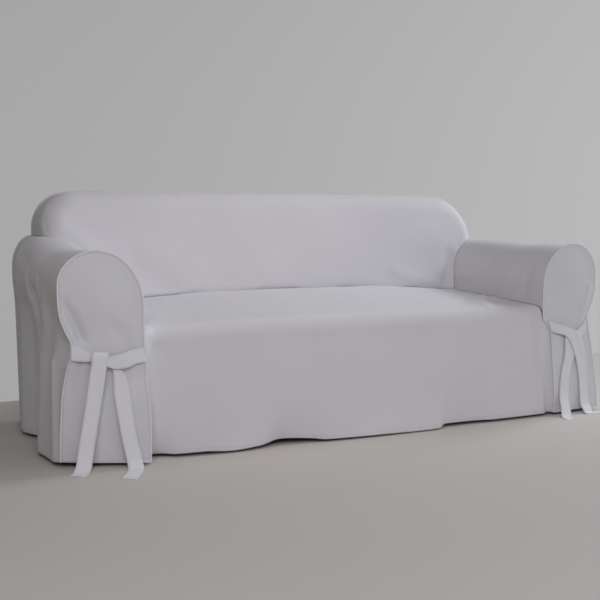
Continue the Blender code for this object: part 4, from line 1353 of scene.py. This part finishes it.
# Across under the seat's edge, then across, depth and height of the hem
SKIRT = curve(
    (-0.8122, -0.8080, -0.0420, 0.008),
    (-0.8020, -0.8000, 0.0080, 0.010),
    (-0.7850, -0.7810, 0.0500, 0.011),
    (-0.7500, -0.7450, 0.0440, 0.011),
    (-0.7000, -0.7000, 0.0140, 0.011),
    (-0.6070, -0.6070, -0.0018, 0.012),
    (-0.5130, -0.5130, -0.0156, 0.008),
    (-0.4120, -0.4120, -0.0066, 0.012),
    (-0.3250, -0.3250, 0.0204, 0.0205),
    (-0.2230, -0.2230, 0.0060, 0.0155),
    (-0.1530, -0.1530, -0.0156, 0.009),
    (0.0750, 0.0750, -0.0300, 0.007),
    (0.2550, 0.2550, -0.0336, 0.005),
    (0.3000, 0.3020, -0.0312, 0.0055),
    (0.3500, 0.3480, -0.0060, 0.0135),
    (0.4700, 0.4700, -0.0048, 0.0125),
    (0.5900, 0.5900, -0.0144, 0.010),
    (0.7550, 0.7600, -0.0140, 0.010),
    (0.7880, 0.8150, -0.0120, 0.010),
    (0.8030, 0.8430, 0.0040, 0.011),
    (0.8122, 0.8540, -0.0175, 0.011),
)

LEFT_OUTER_TIE = (
    (-1.0425, -0.0030, 0.389, -1.0430, -0.0030, 0.338),
    (-1.0100, -0.0060, 0.375, -1.0110, -0.0060, 0.334),
    (-0.9870, -0.0080, 0.363, -0.9830, -0.0080, 0.332),
    (-0.9690, -0.0085, 0.354, -0.9530, -0.0085, 0.336),
    (-0.9710, -0.0095, 0.351, -0.9440, -0.0095, 0.349),
    (-0.9800, -0.0130, 0.360, -0.9340, -0.0130, 0.358),
    (-0.9840, -0.0160, 0.349, -0.9310, -0.0160, 0.345),
    (-0.9850, -0.0165, 0.329, -0.9350, -0.0165, 0.325),
    (-0.9940, -0.0180, 0.281, -0.9440, -0.0180, 0.275),
    (-1.0060, -0.0220, 0.206, -0.9580, -0.0220, 0.201),
    (-1.0280, -0.0300, 0.100, -0.9790, -0.0300, 0.095),
    (-1.0390, -0.0370, 0.049, -0.9910, -0.0380, 0.040),
    (-1.0460, -0.0430, 0.020, -0.9980, -0.0470, 0.013),
    (-1.0590, -0.0480, 0.0022, -1.0140, -0.0680, 0.0016),
    (-1.0730, -0.0540, 0.0010, -1.0360, -0.0920, 0.0010),
)
LEFT_INNER_TIE = (
    (-0.8150, -0.0016, 0.366, -0.8080, -0.0016, 0.317),
    (-0.8530, -0.0080, 0.361, -0.8380, -0.0080, 0.316),
    (-0.8900, -0.0125, 0.352, -0.8680, -0.0125, 0.307),
    (-0.9240, -0.0130, 0.345, -0.9050, -0.0130, 0.304),
    (-0.9420, -0.0105, 0.338, -0.9330, -0.0105, 0.314),
    (-0.9170, -0.0070, 0.308, -0.8900, -0.0070, 0.302),
    (-0.9140, -0.0070, 0.271, -0.8700, -0.0070, 0.269),
    (-0.9140, -0.0100, 0.236, -0.8650, -0.0120, 0.233),
    (-0.9110, -0.0180, 0.196, -0.8610, -0.0210, 0.195),
    (-0.9020, -0.0370, 0.106, -0.8530, -0.0420, 0.100),
    (-0.8930, -0.0520, 0.046, -0.8440, -0.0560, 0.042),
    (-0.8900, -0.0600, 0.020, -0.8410, -0.0640, 0.016),
    (-0.8920, -0.0720, 0.0030, -0.8430, -0.0800, 0.0026),
    (-0.9150, -0.1150, 0.0010, -0.8720, -0.1350, 0.0010),
    (-0.9450, -0.1590, 0.0010, -0.9070, -0.1900, 0.0010),
)
RIGHT_INNER_TIE = (
    (0.8360, -0.0016, 0.3740, 0.8560, -0.0016, 0.3260),
    (0.8640, -0.0080, 0.3640, 0.8680, -0.0080, 0.3220),
    (0.9000, -0.0140, 0.3530, 0.8940, -0.0140, 0.3170),
    (0.9390, -0.0130, 0.3420, 0.9130, -0.0130, 0.3100),
    (0.9790, -0.0120, 0.3240, 0.9320, -0.0120, 0.2960),
    (1.0020, -0.0110, 0.2940, 0.9490, -0.0115, 0.2710),
    (1.0200, -0.0100, 0.2490, 0.9650, -0.0105, 0.2370),
    (1.0300, -0.0100, 0.2040, 0.9780, -0.0105, 0.2000),
    (1.0370, -0.0110, 0.1310, 0.9910, -0.0120, 0.1300),
    (1.0340, -0.0190, 0.0710, 0.9900, -0.0200, 0.0670),
    (1.0330, -0.0280, 0.0380, 0.9870, -0.0300, 0.0340),
    (1.0340, -0.0390, 0.0180, 0.9870, -0.0440, 0.0160),
    (1.0390, -0.0430, 0.0026, 0.9910, -0.0570, 0.0026),
    (1.0690, -0.0400, 0.0010, 1.0260, -0.0720, 0.0010),
    (1.0910, -0.0300, 0.0010, 1.0560, -0.0740, 0.0010),
)
RIGHT_OUTER_TIE = (
    (1.0300, -0.0016, 0.3780, 1.0340, -0.0016, 0.3340),
    (1.0130, -0.0045, 0.3530, 1.0150, -0.0045, 0.3060),
    (0.9900, -0.0060, 0.3350, 0.9920, -0.0060, 0.2910),
    (0.9620, -0.0070, 0.3220, 0.9750, -0.0070, 0.2800),
    (0.9300, -0.0080, 0.3160, 0.9660, -0.0080, 0.2710),
    (0.9180, -0.0070, 0.2990, 0.9670, -0.0070, 0.2620),
    (0.9190, -0.0075, 0.2690, 0.9700, -0.0065, 0.2470),
    (0.9150, -0.0090, 0.2220, 0.9670, -0.0060, 0.2120),
    (0.9000, -0.0130, 0.1790, 0.9520, -0.0105, 0.1720),
    (0.8880, -0.0180, 0.1220, 0.9390, -0.0165, 0.1180),
    (0.8790, -0.0270, 0.0720, 0.9270, -0.0265, 0.0640),
    (0.8700, -0.0450, 0.0390, 0.9160, -0.0460, 0.0310),
    (0.8640, -0.0560, 0.0170, 0.9100, -0.0590, 0.0130),
    (0.8510, -0.0760, 0.0024, 0.9010, -0.0700, 0.0024),
    (0.8330, -0.1200, 0.0010, 0.8850, -0.1050, 0.0010),
)


def arm_covers() -> tuple[ArmCover, ArmCover]:
    """Both arms with the folds laid on them. Panel lifts are positive rearwards, as troughs."""
    left = ArmCover(
        LEFT_ARM,
        inner_folds=folds((0.50, 0.49, 0.35, 0.60, 0.030, -0.004)),
        outer_folds=folds(
            (0.335, 0.500, 0.348, 0.000, 0.038, -0.024, 1.1),
            (0.225, 0.460, 0.238, 0.000, 0.055, 0.013, 1.2),
            (0.205, 0.300, 0.205, -0.050, 0.045, 0.010),
            (0.108, 0.320, 0.086, 0.000, 0.020, 0.009, 1.2),
            (0.410, 0.570, 0.400, 0.440, 0.022, 0.006),
            (0.250, 0.570, 0.245, 0.400, 0.022, -0.007),
            (0.560, 0.690, 0.330, 0.640, 0.018, 0.004),
            (0.600, 0.655, 0.380, 0.600, 0.020, -0.004),
        ),
        panel_folds=folds(
            (0.124, 0.520, 0.064, 0.402, 0.015, 0.021, 1.0, 0.004),
            (-0.040, 0.430, -0.084, 0.378, 0.018, 0.003),
            (-0.092, 0.440, -0.112, 0.385, 0.016, -0.003),
            (0.066, 0.330, 0.080, 0.110, 0.015, 0.007, 1.4),
            (-0.005, 0.300, -0.018, 0.080, 0.024, 0.004),
            (-0.095, 0.320, -0.092, 0.200, 0.010, -0.003),
        ),
        seed=41,
    )
    right = ArmCover(
        RIGHT_ARM,
        inner_folds=folds(
            (0.50, 0.48, 0.36, 0.58, 0.030, -0.004),
            (0.30, 0.46, 0.22, 0.56, 0.028, 0.003),
            (0.12, 0.47, 0.10, 0.58, 0.024, -0.003),
        ),
        outer_folds=folds(
            (0.235, 0.500, 0.230, 0.060, 0.016, -0.005, 1.4),
            (0.120, 0.400, 0.115, 0.040, 0.020, 0.005, 1.3),
            (0.420, 0.520, 0.420, 0.100, 0.020, 0.005, 1.3),
        ),
        panel_folds=folds(
            (0.102, 0.500, 0.052, 0.366, 0.020, -0.011, 1.0, -0.004),
            (0.110, 0.430, 0.096, 0.372, 0.010, 0.004),
            (-0.030, 0.430, -0.010, 0.370, 0.014, 0.002),
            (0.100, 0.345, 0.112, 0.160, 0.014, 0.005),
            (0.015, 0.270, 0.012, 0.080, 0.022, 0.005),
        ),
        seed=61,
    )
    return left, right


def tie_straps() -> tuple[TieStrap, ...]:
    """The four straps, each with the length and width it was cut to."""
    return (
        TieStrap("tie_left_outer", LEFT_OUTER_TIE, (0.05, 0.50), 71),
        TieStrap("tie_left_inner", LEFT_INNER_TIE, (0.05, 0.57), 72),
        TieStrap("tie_right_outer", RIGHT_OUTER_TIE, (0.05, 0.49), 73),
        TieStrap("tie_right_inner", RIGHT_INNER_TIE, (0.05, 0.52), 74),
    )


# --- Studio ---


@dataclass(frozen=True)
class Lamp:
    """A square soft light with the angle to which its grid narrows it, and the point that it faces."""

    name: str
    place: tuple[float, float, float]
    size: float
    power: float
    colour: str = "#FFFFFF"
    aimed_at: tuple[float, float, float] = (0.0, 0.0, 0.4)
    spread: float = math.pi

    def build(self) -> None:
        """Adds the lamp to the scene."""
        light = bpy.data.lights.new(self.name, "AREA")
        light.size, light.energy, light.spread = self.size, self.power, self.spread
        light.color = linear_from_hex(self.colour)[:3]
        lamp = bpy.data.objects.new(self.name, light)
        lamp.location = self.place
        aim = Vector(self.aimed_at) - Vector(self.place)
        lamp.rotation_euler = aim.to_track_quat("-Z", "Y").to_euler()
        bpy.context.scene.collection.objects.link(lamp)


@dataclass(frozen=True)
class Studio:
    """A plain pale floor, five soft lamps, a graded sky and the camera."""

    lens: float = 60.238
    sensor: float = 36.0
    stand: tuple[float, float, float] = (-1.8519, -3.3135, 0.7697)
    turn_right: float = 0.4879
    look_down: float = 0.0814
    roll: float = 0.0010
    floor_half: float = 9.0
    floor_behind: float = 0.95
    lamps: tuple[Lamp, ...] = (
        Lamp("front left light", (-2.3, -4.3, 2.8), 2.5, 80.0, "#FFFBFA"),
        Lamp("front right light", (0.4, -5.0, 2.8), 2.5, 26.0, "#DCE2FF"),
        Lamp("window light", (3.6, 0.1, 2.8), 1.3, 76.0, "#EEF6FF"),
        Lamp("ceiling light", (-0.05, -0.9, 3.0), 0.9, 1.55, "#FFF0E6", (-0.05, 0.15, 0.6), 1.15),
        Lamp("light from the floor", (1.9, -1.15, 0.45), 0.9, 1.9, "#FFFDF6", (0.95, -0.34, 0.2)),
    )
    sky_colour: str = "#FFFFFF"
    sky_level: float = 0.04
    sky_right: float = 0.545
    sky_behind: float = 0.345

    def build(self) -> None:
        """Makes the floor, lamps, sky and camera."""
        self._floor()
        for lamp in self.lamps:
            lamp.build()
        self._sky()
        self._camera()
        bpy.context.scene.view_settings.view_transform = "Standard"

    def _floor(self) -> None:
        """One large level face that ends a little behind the cover."""
        half, behind = self.floor_half, self.floor_behind
        mesh = bpy.data.meshes.new("floor")
        corners = [(-half, -half, 0.0), (half, -half, 0.0), (half, behind, 0.0), (-half, behind, 0.0)]
        mesh.from_pydata(corners, [], [(0, 1, 2, 3)])
        mesh.materials.append(PaleFloor().material())
        floor = bpy.data.objects.new("floor", mesh)
        bpy.context.scene.collection.objects.link(floor)

    def _sky(self) -> None:
        """Pale light from all round, with more from the right and from behind.

        The strength is an even level, plus a share of the squares of the direction's parts to the right
        and rearwards.
        """
        world = bpy.data.worlds.new("pale room")
        world.use_nodes = True
        tree = world.node_tree
        shade = tree.nodes["Background"]
        direction = add_node(tree, "ShaderNodeTexCoord").outputs["Generated"]
        split = add_node(tree, "ShaderNodeSeparateXYZ", {0: direction})
        shares = []
        for axis, strength in (("X", self.sky_right), ("Y", self.sky_behind)):
            square = maths(tree, "POWER", maths(tree, "MAXIMUM", split.outputs[axis], 0.0), 2.0)
            shares.append(maths(tree, "MULTIPLY", square, strength))
        level = maths(tree, "ADD", maths(tree, "ADD", *shares), self.sky_level)
        shade.inputs["Color"].default_value = linear_from_hex(self.sky_colour)
        tree.links.new(level, shade.inputs["Strength"])
        bpy.context.scene.world = world

    def _camera(self) -> None:
        """The camera: turned right from the front, looking a little down."""
        lens = bpy.data.cameras.new("camera")
        lens.lens, lens.sensor_width, lens.sensor_fit = self.lens, self.sensor, "HORIZONTAL"
        camera = bpy.data.objects.new("camera", lens)
        yaw, pitch = self.turn_right, self.look_down
        level = math.cos(pitch)
        forward = Vector((math.sin(yaw) * level, math.cos(yaw) * level, -math.sin(pitch)))
        right = Vector((math.cos(yaw), -math.sin(yaw), 0.0))
        up = right.cross(forward)
        right, up = (
            right * math.cos(self.roll) + up * math.sin(self.roll),
            up * math.cos(self.roll) - right * math.sin(self.roll),
        )
        axes = Matrix((right, up, -forward)).transposed().to_4x4()
        camera.matrix_world = Matrix.Translation(self.stand) @ axes
        bpy.context.scene.collection.objects.link(camera)
        bpy.context.scene.camera = camera


# --- Putting it together ---


@dataclass
class Slipcover:
    """The whole cover: builds each sheet, dresses it and hands it to the frame."""

    form: SofaForm = field(default_factory=SofaForm)
    cover_cotton: WovenCotton = WovenCotton("washed white cotton", "#DEDDE1", "#D9D8DC")
    # The panels carry a painted highlight: a paler band along each seam stands in for the light on the proud
    # seam's edge.
    panel_cotton: WovenCotton = WovenCotton(
        "washed white cotton with painted seam highlights", "#DDDDE2", "#D7D7DC", seam_highlight_mm=(5.0, 11.0)
    )
    # The ties are painted paler than the cover as painted light, for the window light that falls on them.
    tie_cotton: WovenCotton = WovenCotton(
        "white cotton tape painted paler", "#E8E8EB", "#E4E4E7", thread_mm=1.3, crumple_depth_mm=0.5
    )

    def build(self) -> None:
        """Builds every piece in order and reports it."""
        finishes = {
            "white_cotton": self.cover_cotton.material(),
            "panel_cotton": self.panel_cotton.material(),
            "tie_cotton": self.tie_cotton.material(),
        }
        back = BackCover(self.form, LEFT_ARM, RIGHT_ARM)
        sheets = [back.inside(), back.outside(), SeatCover(self.form, LEFT_ARM, RIGHT_ARM, SKIRT).sheet()]
        for cover in arm_covers():
            sheets += [cover.piece(), cover.panel()]
        sheets += [strap.sheet() for strap in tie_straps()]
        made = {sheet.name: sheet.build(finishes[sheet.finish]) for sheet in sheets}
        for sheet in sheets:
            self._hand_over(sheet, made)

    def _hand_over(self, sheet: ClothSheet, made: dict[str, bpy.types.Object]) -> None:
        """Ties a piece to the frame: its body and its solid."""
        piece = made[sheet.name]
        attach(piece, "root")
        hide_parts(sheet.name)
        log.info("%s: %d faces in its sheet", piece.name, len(piece.data.polygons))


def main() -> None:
    """Builds the studio and the cover."""
    logging.basicConfig(level=logging.INFO, format="%(name)s: %(message)s")
    Studio().build()
    Slipcover().build()


if __name__ == "__main__":
    main()
